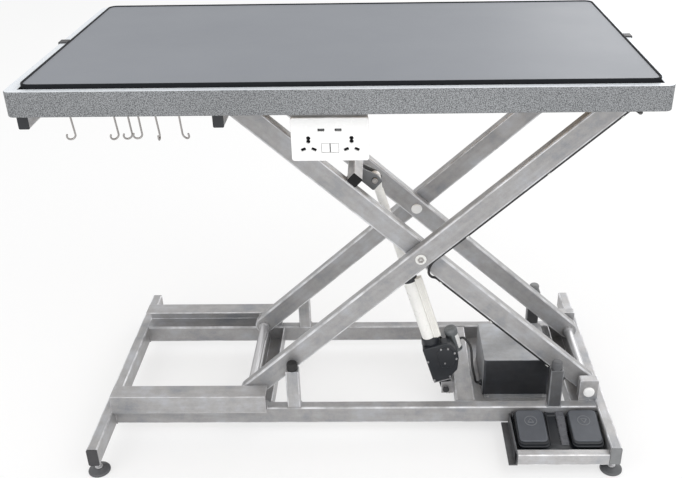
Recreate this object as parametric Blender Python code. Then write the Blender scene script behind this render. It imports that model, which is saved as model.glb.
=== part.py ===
"""Pet grooming table on an electric scissor lift, modelled at its full height.

Metres, +Z up. The origin lies on the floor under the middle of the base, X runs along the
table and Y from front to back.
"""
from math import atan2, cos, pi, radians, sin

import bmesh
import bpy
from mathutils import Matrix, Vector

# Clearances
GAP = 0.0003            # between pieces that touch
RUN = 0.0005            # between a roller and its rail
MERGE = 0.00001
WELD = 0.001            # how far a welded piece runs into the other

# Rounding
ROUND = 18              # sides of shafts and other turned pieces
CORNER_STEPS = 4        # steps in a rounded corner

# Base frame of rectangular tube
BASE_L = 1.200
BASE_W = 0.660
TUBE_W = 0.025
TUBE_H = 0.046
TUBE_WALL = 0.002
LONG_Y = 0.172          # centre line of the long tubes, from the middle
CAP_T = 0.003
TIE_W = 0.045
TIE_H = 0.040
TIE_T = 0.003
TIE_LEFT_IN = 0.3775     # middle of the left tie from the base's left end
TIE_MID_IN = 0.3337      # middle of the middle tie from the base's right end
TIE_RIGHT_IN = 0.0153    # right tie clear of the right cross tube

# Levelling feet
FOOT_H = 0.036          # underside of the base tubes above the floor
FOOT_R = 0.025
FOOT_DISC_H = 0.009
FOOT_NECK_H = 0.016
STEM_R = 0.005
STEM_IN = 0.022         # thread inside the tube
FOOT_INSET = 0.023      # from the tube's end to the foot's axis

# Channel rails for the rollers
RAIL_H = 0.048
RAIL_T = 0.003
LOWER_RAIL_D = 0.044
UPPER_RAIL_D = 0.0312
RAIL_L = 0.392          # reach of the rails from the base's left end
ROLLER_W = 0.022

# Rest posts
POST_LEFT_IN = 0.456     # left posts from the base's left end
POST_RIGHT_IN = 0.0642   # right posts from the middle of the right tie
POST_W = 0.031
POST_H = 0.104
PAD_R = 0.0125
PAD_H = 0.020

# Scissor arms
ARM_L = 1.086           # pivot to pivot
ARM_H = 0.048
ARM_T = 0.025
ARM_WALL = 0.0025
ARM_END = 0.030         # solid end of the tube, from the pivot inward
LIFT_DEG = 41.9         # arm angle at full height
PIVOT_IN = 0.0203        # lower pivot past the middle of the right tie
OUTER_Y = 0.1425        # centre plane of the outer arms
INNER_Y = 0.1120        # centre plane of the inner arms
SHAFT_R = 0.0105
COLLAR_R = 0.0135
COLLAR_W = 0.007
BOLT_R = 0.008
BOLT_HEAD_R = 0.0125
BOLT_HEAD_H = 0.005
SPACER_R = 0.016
PIVOT_CAP_R = 0.0135
PIVOT_CAP_H = 0.005
BLOCK_W = 0.045
BLOCK_T = 0.022
BLOCK_H = 0.056         # lower pivot block above the base tubes
UPPER_BLOCK_T = 0.025
UPPER_BLOCK_DROP = 0.023

# Square tube across the inner arms, with the clevis of the actuator
CROSS_S = 0.025
CROSS_U = 0.767         # along the arm from the lower pivot
CLEVIS_U = 0.718
CLEVIS_N = 0.0216       # pin above the arm's edge
CLEVIS_END = 0.016      # plate past the pin
CLEVIS_H = 0.036
CLEVIS_T = 0.006
CLEVIS_BOLT_R = 0.006   # in the rod's eye
CLEVIS_HEAD_R = 0.0095
CLEVIS_HEAD_H = 0.005

# Linear actuator, measured along its own axis from the foot pin
ACT_Y = -0.050
FOOT_PIN_IN = 0.0408     # foot pin from the middle of the middle tie
FOOT_PIN_Z = 0.047
FOOT_PIN_R = 0.0058
LUG_R = 0.012
LUG_W = 0.024
CHEEK_T = 0.004
CHEEK_X = 0.0115        # cheek past the pin
CHEEK_UP = 0.019
CHEEK_DOWN = 0.015
BOX_S0 = 0.038          # gearbox
BOX_S1 = 0.155
BOX_LEFT = 0.0245
BOX_FOOT = 0.021
BOX_RIGHT = 0.056
BOX_NECK_S = 0.060
BOX_SHOULDER_S = 0.088
BOX_HALF_Y = 0.030
BOX_ROUND = 0.006
BOX_SIDE_S1 = 0.140     # front half of the gearbox beside the tube
BOX_SHELF_S = 0.085     # shoulder behind it that carries the motor
BOX_PART_Y = -0.001     # between the two halves
BOX_STEP = 0.0175       # side of the socket for the tube
BARREL_R = 0.0190       # cream outer tube
BARREL_BORE = 0.0155
BARREL_S0 = 0.102
BARREL_S1 = 0.322
RIB_OUT = 0.0300        # switch rail on the side of the tube
RIB_Y0 = -0.017
RIB_Y1 = -0.001
COLLAR_H = 0.012        # black collar on the tube's end
ACT_COLLAR_R = 0.0205
ROD_R = 0.010
ROD_BORE = 0.0072
ROD_S0 = 0.304
ROD_HOLLOW = 0.030      # solid end of the rod below the eye
EYE_R = 0.013
EYE_W = 0.018
SCREW_R = 0.0062
SCREW_S1 = 0.295
MOTOR_R = 0.0165
MOTOR_X = 0.0525
MOTOR_Y = 0.0185
MOTOR_H = 0.075
MOTOR_LEAD_S = 0.112

# Control box on its plate
PLATE_OUT = 0.2187       # shelf from the middle of the middle tie
PLATE_T = 0.0025
BOX_OUT = 0.0475         # box from the middle of the middle tie
BOX_L = 0.162
BOX_Y0 = -0.093
BOX_Y1 = 0.070
BOX_H = 0.105
BOX_WALL = 0.0025
BOX_R = 0.006
FLANGE = 0.010
FLANGE_T = 0.003
BOARD_T = 0.002
BOARD_EDGE = 0.012      # clear of the cover
GLAND_R = 0.0065
GLAND_L = 0.007
MOTOR_GLAND_Y = -0.070
MOTOR_GLAND_UP = 0.022
CABLE_GLAND_Y = -0.060
MAINS_GLAND_Y = 0.040
RIGHT_GLAND_UP = 0.030

# Foot switch tray
TRAY_L = 0.225           # outside of the side rail to the right cross tube
TRAY_TUBE_W = 0.020
TRAY_TUBE_H = 0.030
TRAY_Z = 0.033
TRAY_T = 0.002
SWITCH_BASE_H = 0.016
SWITCH_EDGE = 0.0015    # clear of the tray's rails
BRIDGE_W = 0.046
BRIDGE_H = 0.036
BRIDGE_FRONT = 0.020
PEDAL_W = 0.071
PEDAL_T = 0.009
PEDAL_REAR_IN = 0.012   # hinge axis from the switch's rear edge
PEDAL_FRONT = 0.0062    # pedal's front edge from the switch's front edge
PEDAL_HINGE_UP = 0.0147  # hinge axis above the switch's base
PEDAL_TOP = 0.0165      # pedal's face above the hinge axis
PEDAL_SLOPE = 7.8       # degrees at rest
PEDAL_ROUND = 0.012
PEDAL_BARREL_R = 0.0062
PEDAL_PIN_R = 0.003
LUG_T = 0.0026
KEY_W = 0.020
KEY_D = 0.012
KEY_H = 0.004
KEY_IN = 0.020          # key from the switch's front edge

# Table top
TOP_L = 1.200
TOP_W = 0.650
TOP_X = -0.006          # middle of the top over the base
FRAME_H = 0.048
FRAME_RIM = 0.018
LEFT_LIP = 0.006        # the left rim is this much wider
FRAME_T = 0.0025
FRAME_R = 0.012
BEARER_S = 0.025
BEARER_MID_X = -0.027
END_BAR_T = 0.010       # flat bar across the right ends of the upper tubes
UPPER_TUBE_OVER = 0.0324  # top of the upper long tubes above the upper pivots
BOARD_H = 0.0184
MAT_H = 0.012
MAT_R = 0.020
MAT_BEVEL = 0.003

# Hook bar
STUB_W = 0.020
STUB_H = 0.030
STUB_IN = 0.0125        # middle of the left cross tube from the top's left end
HOOK_SPAN = 0.3619      # between the two tubes that hold the bar
STUB_END_IN = 0.025     # open ends of these tubes from the top's long edges
HOOK_BAR_R = 0.004
HOOK_BAR_IN = 0.040     # bar from the top's front edge
HOOK_BAR_UP = 0.0233    # bar above the stub tube's underside
HOOK_AT = (0.0860, 0.1675, 0.1935, 0.2125, 0.2445, 0.2885)  # along the bar
HOOK_YAWS = (-60.0, -50.0, -62.0, -70.0, 5.0, 60.0)
HOOK_WIRE_R = 0.0015
HOOK_STEM = 0.0413
HOOK_FOOT_R = 0.008

# Wall socket
SOCKET_X = -0.027
SOCKET_W = 0.146
SOCKET_H = 0.086
SOCKET_T = 0.008
SOCKET_R = 0.005
SOCKET_IN = 0.0317      # face from the top's front edge
SOCKET_DROP = 0.0168    # top of the plate below the frame's underside
SOCKET_BOX_D = 0.042
SOCKET_BOX_IN = 0.002
SOCKET_BOX_WALL = 0.002
ROCKER_W = 0.0155
ROCKER_H = 0.018
ROCKER_STEP = 0.017
ROCKER_Z = 0.026        # above the plate's lower edge
ROCKER_OUT = 0.0022
ROCKER_TILT = 5.0
ROCKER_D = 0.005
OUTLET_X = 0.0405       # from the plate's middle
OUTLET_Z = 0.030
SLOT_DEPTH = 0.0045
SLOT_W = 0.0022
SLOT_H = 0.007
SLOT_STEP = 0.0095
EARTH_UP = 0.0215
USB_X = 0.016
USB_Z = 0.062
USB_W = 0.012
USB_H = 0.004

# Leads
CABLE_R = 0.003
CORD_STEP = 0.022       # between the points of a cord
CABLE_START_U = 0.100   # on the outer arm, from the centre pivot
CABLE_TOP_U = 0.530
CABLE_LOW_U = 0.480     # on the inner arm, from the centre pivot
CABLE_LOOP_U = 0.085
LOOP_AT = ((0.0530, 0.5, 0.0110), (0.0222, 1.2, -0.0220),  # loop round the centre pivot: x and z
           (0.0187, 2.8, -0.0420), (0.0262, 6.9, -0.0611))  # from it, y in cable radii behind the cable
SOCKET_LEAD_IN = 0.0313  # where the lead enters the socket's box, from its face

# Heights and places that follow from the sizes above
BASE_Z0 = FOOT_H
BASE_Z1 = FOOT_H + TUBE_H
BASE_X1 = BASE_L / 2
TIE_LEFT_X = TIE_LEFT_IN - BASE_X1
TIE_MID_X = BASE_X1 - TIE_MID_IN
TIE_RIGHT_X = BASE_X1 - TUBE_W - TIE_RIGHT_IN - TIE_W / 2
RAIL_X1 = RAIL_L - BASE_X1
POST_XS = (POST_LEFT_IN - BASE_X1, TIE_RIGHT_X - POST_RIGHT_IN)
PIVOT_X = TIE_RIGHT_X + PIVOT_IN
FOOT_PIN_X = TIE_MID_X - FOOT_PIN_IN
PLATE_X1 = TIE_MID_X + PLATE_OUT
BOX_X0 = TIE_MID_X + BOX_OUT
BOX_X1 = BOX_X0 + BOX_L
SIDE_RAIL_X = BASE_X1 - TUBE_W - TRAY_L
LONG_IN = LONG_Y - TUBE_W / 2
LONG_OUT = LONG_Y + TUBE_W / 2
RAIL_Z0 = BASE_Z1
AXIS_Z = RAIL_Z0 + RAIL_H / 2
ROLLER_R = RAIL_H / 2 - RAIL_T - RUN
LIFT = radians(LIFT_DEG)
SPAN = ARM_L * cos(LIFT)
RISE = ARM_L * sin(LIFT)
ROLLER_X = PIVOT_X - SPAN
CENTRE_X = PIVOT_X - SPAN / 2
CENTRE_Z = AXIS_Z + RISE / 2
UPPER_Z = AXIS_Z + RISE
UPPER_TUBE_Z1 = UPPER_Z + UPPER_TUBE_OVER
UPPER_TUBE_Z0 = UPPER_TUBE_Z1 - TUBE_H
FRAME_Z0 = UPPER_TUBE_Z1 + WELD + GAP
FRAME_Z1 = FRAME_Z0 + FRAME_H
STUB_Z0 = UPPER_TUBE_Z1 - STUB_H
TOP_X0 = TOP_X - TOP_L / 2
TOP_X1 = TOP_X + TOP_L / 2
STUB_LEFT_X = TOP_X0 + STUB_IN
STUB_RIGHT_X = STUB_LEFT_X + HOOK_SPAN
DECK_X0 = TOP_X0 + FRAME_RIM + GAP
DECK_X1 = TOP_X1 - FRAME_RIM - GAP
DECK_Y = TOP_W / 2 - FRAME_RIM - GAP
BOARD_Z0 = FRAME_Z0 + GAP + BEARER_S + GAP
BOARD_Z1 = BOARD_Z0 + BOARD_H
SOCKET_Z1 = FRAME_Z0 - SOCKET_DROP
SOCKET_Z0 = SOCKET_Z1 - SOCKET_H
LOWER_ROLLER_Y = LONG_IN + (LOWER_RAIL_D - RAIL_T) / 2
UPPER_RAIL_OUT = LONG_IN
UPPER_RAIL_IN = UPPER_RAIL_OUT - UPPER_RAIL_D
UPPER_ROLLER_Y = UPPER_RAIL_IN + (UPPER_RAIL_D - RAIL_T) / 2
TIE_Z0 = BASE_Z1 - TIE_H
PLATE_Z0 = TIE_Z0 + WELD / 2
PLATE_Z1 = PLATE_Z0 + PLATE_T
BOX_Z0 = PLATE_Z1 + GAP
TRAY_X0 = SIDE_RAIL_X + TRAY_TUBE_W + GAP
TRAY_X1 = BASE_X1 - TUBE_W - GAP
TRAY_Y0 = -BASE_W / 2
TRAY_Y1 = -LONG_OUT - GAP
SWITCH_X0 = TRAY_X0 + SWITCH_EDGE
SWITCH_X1 = TRAY_X1 - SWITCH_EDGE
SWITCH_Y0 = TRAY_Y0 + TRAY_TUBE_W + SWITCH_EDGE
SWITCH_Y1 = TRAY_Y1 - SWITCH_EDGE
SWITCH_Z0 = TRAY_Z + TRAY_T + GAP
SWITCH_Z1 = SWITCH_Z0 + SWITCH_BASE_H
HINGE_Y = SWITCH_Y1 - PEDAL_REAR_IN
HINGE_Z = SWITCH_Z1 + PEDAL_HINGE_UP
PEDAL_LEN = HINGE_Y - SWITCH_Y0 - PEDAL_FRONT
SWITCH_X = (SWITCH_X0 + SWITCH_X1) / 2
STUB_END_Y = TOP_W / 2 - STUB_END_IN
HOOK_BAR_Y = HOOK_BAR_IN - TOP_W / 2
HOOK_BAR_Z = STUB_Z0 + HOOK_BAR_UP
SOCKET_FACE_Y = SOCKET_IN - TOP_W / 2
SOCKET_LEAD_Y = SOCKET_FACE_Y + SOCKET_LEAD_IN
HOOK_TOP_R = HOOK_BAR_R + HOOK_WIRE_R + GAP
OUTER_CABLE_Y = -OUTER_Y - ARM_T / 6
INNER_CABLE_Y = -INNER_Y - ARM_T / 6

OUTER_POSE = Matrix.Translation((CENTRE_X, 0, CENTRE_Z)) @ Matrix.Rotation(-LIFT, 4, "Y")
INNER_POSE = Matrix.Translation((CENTRE_X, 0, CENTRE_Z)) @ Matrix.Rotation(LIFT, 4, "Y")
FOOT_PIN = Vector((FOOT_PIN_X, ACT_Y, FOOT_PIN_Z))
CLEVIS_PIN = INNER_POSE @ Vector((ARM_L / 2 - CLEVIS_U, ACT_Y, ARM_H / 2 + CLEVIS_N))
ACT_LEN = (CLEVIS_PIN - FOOT_PIN).length
ACT_LEAN = atan2(CLEVIS_PIN.x - FOOT_PIN.x, CLEVIS_PIN.z - FOOT_PIN.z)
ACT_POSE = Matrix.Translation(FOOT_PIN) @ Matrix.Rotation(ACT_LEAN, 4, "Y")
MOTOR_GLAND = Vector((BOX_X0, MOTOR_GLAND_Y, BOX_Z0 + MOTOR_GLAND_UP))
CABLE_GLAND = Vector((BOX_X1, CABLE_GLAND_Y, BOX_Z0 + RIGHT_GLAND_UP))
MAINS_GLAND = Vector((BOX_X1, MAINS_GLAND_Y, BOX_Z0 + RIGHT_GLAND_UP))
ALONG_Y = Matrix.Rotation(-pi / 2, 4, "X")

FINISHES = {
    "silver_paint": ((0.42, 0.42, 0.43), 0.38, 0.60),
    "hammer_paint": ((0.36, 0.36, 0.37), 0.45, 0.50),
    "steel_zinc": ((0.62, 0.62, 0.62), 0.30, 0.90),
    "black_plastic": ((0.030, 0.030, 0.032), 0.50, 0.0),
    "dark_sheet": ((0.055, 0.055, 0.058), 0.45, 0.2),
    "grey_rubber": ((0.38, 0.38, 0.38), 0.80, 0.0),
    "grey_plastic": ((0.10, 0.10, 0.105), 0.50, 0.0),
    "cream_paint": ((0.86, 0.83, 0.77), 0.40, 0.0),
    "white_plastic": ((0.85, 0.85, 0.84), 0.35, 0.0),
    "plywood": ((0.52, 0.38, 0.22), 0.70, 0.0),
    "motor_steel": ((0.30, 0.31, 0.31), 0.35, 0.8),
    "nylon": ((0.80, 0.80, 0.78), 0.50, 0.0),
    "board_green": ((0.03, 0.16, 0.08), 0.55, 0.0),
    "cable_black": ((0.015, 0.015, 0.015), 0.55, 0.0),
}

PLACE = {
    "x": lambda a, b, c: (c, a, b),
    "y": lambda a, b, c: (a, c, b),
    "z": lambda a, b, c: (a, b, c),
}


def finish(name):
    """The material of that name, made on first use."""
    found = bpy.data.materials.get(name)
    if found:
        return found
    colour, roughness, metallic = FINISHES[name]
    made = bpy.data.materials.new(name)
    made.use_nodes = True
    shader = made.node_tree.nodes["Principled BSDF"]
    shader.inputs["Base Color"].default_value = (*colour, 1.0)
    shader.inputs["Roughness"].default_value = roughness
    shader.inputs["Metallic"].default_value = metallic
    return made


def rectangle(a0, a1, b0, b1):
    """Corner points of a rectangle."""
    return [(a0, b0), (a1, b0), (a1, b1), (a0, b1)]


def rounded(a0, a1, b0, b1, radius, steps=CORNER_STEPS):
    """A rectangle with round corners."""
    corners = ((a1 - radius, b1 - radius, 0), (a0 + radius, b1 - radius, 1),
               (a0 + radius, b0 + radius, 2), (a1 - radius, b0 + radius, 3))
    points = []
    for a, b, quarter in corners:
        for step in range(steps + 1):
            turn = (quarter + step / steps) * pi / 2
            points.append((a + radius * cos(turn), b + radius * sin(turn)))
    return points


def circle(a, b, radius, sides=ROUND):
    """Points round a circle."""
    return [(a + radius * cos(2 * pi * i / sides), b + radius * sin(2 * pi * i / sides))
            for i in range(sides)]


def prism(axis, start, end, outline, *holes):
    """A straight solid along an axis, its loops given in the two other axes."""
    bm = bmesh.new()
    rims = [[bm.verts.new(PLACE[axis](a, b, start)) for a, b in loop]
            for loop in (outline, *holes)]
    edges = [bm.edges.new((rim[i - 1], rim[i])) for rim in rims for i in range(len(rim))]
    bmesh.ops.triangle_fill(bm, use_beauty=True, edges=edges)
    made = bmesh.ops.extrude_face_region(bm, geom=bm.faces[:])
    lifted = [item for item in made["geom"] if isinstance(item, bmesh.types.BMVert)]
    bmesh.ops.translate(bm, verts=lifted, vec=Vector(PLACE[axis](0, 0, end - start)))
    bmesh.ops.recalc_face_normals(bm, faces=bm.faces[:])
    return bm


def box(x0, x1, y0, y1, z0, z1):
    """A block between two corners."""
    return prism("z", z0, z1, rectangle(x0, x1, y0, y1))


def turned(profile, sides=ROUND):
    """A solid turned about Z from (radius, height) points that start and end on the axis."""
    bm = bmesh.new()
    verts = [bm.verts.new((radius, 0, height)) for radius, height in profile]
    edges = [bm.edges.new(pair) for pair in zip(verts, verts[1:])]
    bmesh.ops.spin(bm, geom=verts + edges, axis=(0, 0, 1), cent=(0, 0, 0),
                   angle=2 * pi, steps=sides, use_merge=True)
    bmesh.ops.remove_doubles(bm, verts=bm.verts[:], dist=MERGE)
    bmesh.ops.recalc_face_normals(bm, faces=bm.faces[:])
    return bm


def ring(inner, outer, start, end, sides=ROUND):
    """A short tube along Z."""
    return prism("z", start, end, circle(0, 0, outer, sides), circle(0, 0, inner, sides))


def swept(profile, outline):
    """A closed frame: each (inset, height) of the profile is one loop of the outline."""
    bm = bmesh.new()
    loops = [[bm.verts.new((a, b, height)) for a, b in outline(inset)]
             for inset, height in profile]
    for number, loop in enumerate(loops):
        other = loops[number - 1]
        for i in range(len(loop)):
            bm.faces.new((loop[i - 1], loop[i], other[i], other[i - 1]))
    bmesh.ops.recalc_face_normals(bm, faces=bm.faces[:])
    return bm


def moved(bm, matrix):
    """The solid under a matrix."""
    bmesh.ops.transform(bm, matrix=matrix, verts=bm.verts[:])
    bmesh.ops.recalc_face_normals(bm, faces=bm.faces[:])
    return bm


def mesh_of(bm, name):
    """A mesh datablock from a solid, which is used up."""
    mesh = bpy.data.meshes.new(name)
    bm.to_mesh(mesh)
    bm.free()
    return mesh


def combined(first, second, operation):
    """The exact Boolean of two solids."""
    pair = [bpy.data.objects.new("work", mesh_of(bm, "work")) for bm in (first, second)]
    for item in pair:
        bpy.context.scene.collection.objects.link(item)
    modifier = pair[0].modifiers.new("boolean", "BOOLEAN")
    modifier.object = pair[1]
    modifier.operation = operation
    modifier.solver = "EXACT"
    bpy.context.view_layer.update()
    evaluated = pair[0].evaluated_get(bpy.context.evaluated_depsgraph_get())
    result = bmesh.new()
    result.from_mesh(evaluated.to_mesh())
    for item in pair:
        bpy.data.objects.remove(item)
    return result


def cut(solid, *cutters):
    """The solid with each cutter taken out."""
    for cutter in cutters:
        solid = combined(solid, cutter, "DIFFERENCE")
    return solid


def fused(solid, *others):
    """The solid joined with each other one."""
    for other in others:
        solid = combined(solid, other, "UNION")
    return solid


def axis_empty(name, location):
    """An empty on a joint's axis, which carries that moving body."""
    empty = bpy.data.objects.new(name, None)
    empty.location = location
    empty.empty_display_size = 0.05
    empty.hide_render = True
    bpy.context.scene.collection.objects.link(empty)
    return empty


def part(name, material, solids, body=None):
    """One named sub-part from its solids, carried by a body's empty."""
    whole = bmesh.new()
    for solid in solids:
        piece = mesh_of(solid, name)
        whole.from_mesh(piece)
        bpy.data.meshes.remove(piece)
    mesh = mesh_of(whole, name)
    item = bpy.data.objects.new(name, mesh)
    item.data.materials.append(finish(material))
    bpy.context.scene.collection.objects.link(item)
    if body:
        mesh.transform(Matrix.Translation(-body.location))
        item.parent = body
    mesh.shade_smooth()
    mesh.set_sharp_from_angle(angle=radians(30))
    return item


def smooth_route(points, spacing):
    """Points along a smooth curve through the route's own points, however far apart those are."""
    route = [Vector(point) for point in points]
    ends = [route[0] * 2 - route[1], *route, route[-1] * 2 - route[-2]]
    smooth = []
    for before, start, end, after in zip(ends, ends[1:], ends[2:], ends[3:]):
        d0, d1, d2 = (start - before).length, (end - start).length, (after - end).length
        leave = (end - start) + ((start - before) / d0 - (end - before) / (d0 + d1)) * d1
        arrive = (end - start) + ((after - end) / d2 - (after - start) / (d1 + d2)) * d1
        steps = max(1, round(d1 / spacing))
        for step in range(steps):
            t = step / steps
            smooth.append(start + leave * t + (3 * (end - start) - 2 * leave - arrive) * t ** 2
                          + (leave + arrive - 2 * (end - start)) * t ** 3)
    return smooth + [route[-1]]


def cord(name, material, route, radius, body=None, resolution=2):
    """Round cord or wire along a route: a beveled curve with filled ends."""
    curve = bpy.data.curves.new(name, "CURVE")
    curve.dimensions = "3D"
    curve.bevel_depth = radius
    curve.bevel_resolution = resolution
    curve.use_fill_caps = True
    shift = body.location if body else Vector((0, 0, 0))
    spline = curve.splines.new("POLY")
    spline.points.add(len(route) - 1)
    for point, place in zip(spline.points, route):
        point.co = (*(Vector(place) - shift), 1.0)
    item = bpy.data.objects.new(name, curve)
    item.data.materials.append(finish(material))
    bpy.context.scene.collection.objects.link(item)
    item.parent = body
    return item


def hollow(axis, start, end, a0, a1, b0, b1, wall):
    """A rectangular tube."""
    return prism(axis, start, end, rectangle(a0, a1, b0, b1),
                 rectangle(a0 + wall, a1 - wall, b0 + wall, b1 - wall))


def end_plate(tip, side, x, z0, z1, width):
    """The plastic plug that closes a tube along Y, as a plate in its end."""
    return prism("y", tip - side * CAP_T, tip, rectangle(x - width / 2, x + width / 2, z0, z1))


def channel(side, near, far, z0, x0, x1, sink_out, sink_down):
    """A channel rail along X, open towards the middle, sunk into the tube that carries it."""
    z1 = z0 + RAIL_H
    web = far - RAIL_T
    back = far + sink_out
    foot = z0 - sink_down
    outline = [(side * a, b) for a, b in ((near, foot), (back, foot), (back, z1), (near, z1),
                                          (near, z1 - RAIL_T), (web, z1 - RAIL_T),
                                          (web, z0 + RAIL_T), (near, z0 + RAIL_T))]
    return prism("x", x0, x1, outline)


def y_round(x, z, radius, y0, y1, sides=ROUND):
    """A round bar along Y."""
    return prism("y", y0, y1, circle(x, z, radius, sides))


def shaft(x, z, half, collar_face=None, head=0.0):
    """A turned cross shaft along Y, with a collar inside each arm and a cap on each end."""
    steps = [(0, -half)]
    if head:
        steps = [(0, -half - head), (PIVOT_CAP_R * 0.8, -half - head),
                 (PIVOT_CAP_R, -half - head / 2), (PIVOT_CAP_R, -half)]
    steps.append((SHAFT_R, -half))
    if collar_face:
        inside = collar_face - COLLAR_W
        steps += [(SHAFT_R, -collar_face), (COLLAR_R, -collar_face), (COLLAR_R, -inside),
                  (SHAFT_R, -inside), (SHAFT_R, inside), (COLLAR_R, inside),
                  (COLLAR_R, collar_face), (SHAFT_R, collar_face)]
    steps.append((SHAFT_R, half))
    if head:
        steps += [(PIVOT_CAP_R, half), (PIVOT_CAP_R, half + head / 2),
                  (PIVOT_CAP_R * 0.8, half + head)]
    steps.append((0, half + head))
    return moved(turned(steps), Matrix.Translation((x, 0, z)) @ ALONG_Y)


def roller(x, z, y):
    """A grooveless roller with a bore for its axle."""
    body = ring(SHAFT_R + GAP, ROLLER_R, -ROLLER_W / 2, ROLLER_W / 2)
    return moved(body, Matrix.Translation((x, y, z)) @ ALONG_Y)


def arm(pose, y):
    """A scissor arm: a tube with solid round ends and bores for its shafts and centre bolt."""
    half, edge = ARM_L / 2, ARM_H / 2
    outline = rounded(-half - edge, half + edge, -edge, edge, edge, 2 * CORNER_STEPS)
    bores = [circle(-half, 0, SHAFT_R + GAP), circle(0, 0, BOLT_R + GAP),
             circle(half, 0, SHAFT_R + GAP)]
    bar = prism("y", y - ARM_T / 2, y + ARM_T / 2, outline, *bores)
    inside_y = ARM_T / 2 - ARM_WALL
    inside = box(-half + ARM_END, half - ARM_END, y - inside_y, y + inside_y,
                 -edge + ARM_WALL, edge - ARM_WALL)
    return moved(cut(bar, inside), pose)


def actuator_fork():
    """The fork on the middle tie with the pin that carries the actuator's foot."""
    cheek_in = LUG_W / 2 + 2 * GAP
    cheek_out = cheek_in + CHEEK_T
    front = FOOT_PIN_X - CHEEK_X
    web = FOOT_PIN_X + LUG_R + 2 * GAP
    back = TIE_MID_X - TIE_W / 2 + WELD
    fork = prism("z", FOOT_PIN_Z - CHEEK_DOWN, FOOT_PIN_Z + CHEEK_UP, [
        (front, ACT_Y - cheek_out), (back, ACT_Y - cheek_out), (back, ACT_Y + cheek_out),
        (front, ACT_Y + cheek_out), (front, ACT_Y + cheek_in), (web, ACT_Y + cheek_in),
        (web, ACT_Y - cheek_in), (front, ACT_Y - cheek_in)])
    half = cheek_out + CHEEK_T
    return fused(fork, y_round(FOOT_PIN_X, FOOT_PIN_Z, FOOT_PIN_R, ACT_Y - half, ACT_Y + half))


def tie_channel(x):
    """A tie of channel that lies on its back across the base."""
    tie_y = LONG_IN - GAP
    left, right = x - TIE_W / 2, x + TIE_W / 2
    return prism("y", -tie_y, tie_y, [
        (left, TIE_Z0), (right, TIE_Z0), (right, BASE_Z1), (right - TIE_T, BASE_Z1),
        (right - TIE_T, TIE_Z0 + TIE_T), (left + TIE_T, TIE_Z0 + TIE_T),
        (left + TIE_T, BASE_Z1), (left, BASE_Z1)])


def build_base():
    """The base frame: cross tubes, long tubes with rails and rest posts, and ties."""
    end_x = BASE_X1 - TUBE_W / 2
    tip = BASE_W / 2
    foot_y = tip - FOOT_INSET
    for name, x in (("left", -end_x), ("right", end_x)):
        tube = hollow("y", -tip + CAP_T / 2, tip - CAP_T / 2, x - TUBE_W / 2, x + TUBE_W / 2,
                      BASE_Z0, BASE_Z1, TUBE_WALL)
        tube = fused(tube, *(end_plate(side * tip, side, x, BASE_Z0, BASE_Z1, TUBE_W)
                             for side in (-1, 1)))
        for y in (-foot_y, foot_y):
            hole = prism("z", BASE_Z0 - TUBE_WALL, BASE_Z0 + 2 * TUBE_WALL,
                         circle(x, y, STEM_R + GAP))
            tube = cut(tube, hole)
        part("base_cross_tube_" + name, "silver_paint", [tube])

    long_x = BASE_X1 - TUBE_W - GAP
    post_z1 = BASE_Z1 + POST_H
    for name, side in (("front", -1), ("rear", 1)):
        y0, y1 = sorted((side * LONG_IN, side * LONG_OUT))
        tube = hollow("x", -long_x, long_x, y0, y1, BASE_Z0, BASE_Z1, TUBE_WALL)
        rail = channel(side, LONG_IN, LONG_IN + LOWER_RAIL_D, RAIL_Z0, GAP - long_x, RAIL_X1,
                       0, WELD)
        posts = [box(x - POST_W / 2, x + POST_W / 2, y0 + GAP, y1 - GAP, BASE_Z1 - WELD, post_z1)
                 for x in POST_XS]
        pad = [(0, -WELD), (PAD_R, -WELD), (PAD_R, PAD_H * 0.85), (PAD_R * 0.8, PAD_H), (0, PAD_H)]
        pads = [moved(turned(pad), Matrix.Translation((x, side * LONG_Y, post_z1))) for x in POST_XS]
        part("base_long_tube_" + name, "silver_paint", [fused(tube, rail, *posts, *pads)])

    tie_y = LONG_IN - GAP
    part("base_tie_left", "silver_paint", [tie_channel(TIE_LEFT_X)])
    mid_tube = hollow("y", -tie_y, tie_y, TIE_MID_X - TIE_W / 2, TIE_MID_X + TIE_W / 2,
                      TIE_Z0, BASE_Z1, TUBE_WALL)
    shelf = box(TIE_MID_X + TIE_W / 2 - WELD, PLATE_X1, -tie_y + GAP, tie_y - GAP,
                PLATE_Z0, PLATE_Z1)
    part("base_tie_middle", "silver_paint", [fused(mid_tube, shelf, actuator_fork())])
    blocks = []
    for side in (-1, 1):
        outer = side * (tie_y - GAP)
        inner = outer - side * BLOCK_T
        block = prism("y", inner, outer,
                      rectangle(PIVOT_X - BLOCK_W / 2, PIVOT_X + BLOCK_W / 2, BASE_Z1 + GAP,
                                BASE_Z1 + BLOCK_H),
                      circle(PIVOT_X, AXIS_Z, SHAFT_R + GAP))
        foot = prism("y", inner + side * GAP, outer - side * GAP,
                     rectangle(PIVOT_X - BLOCK_W / 2 + GAP, TIE_RIGHT_X + TIE_W / 2 - GAP,
                               BASE_Z1 - WELD, BASE_Z1 + WELD))
        blocks.append(fused(block, foot))
    part("base_tie_right", "silver_paint", [fused(tie_channel(TIE_RIGHT_X), *blocks)])


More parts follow.
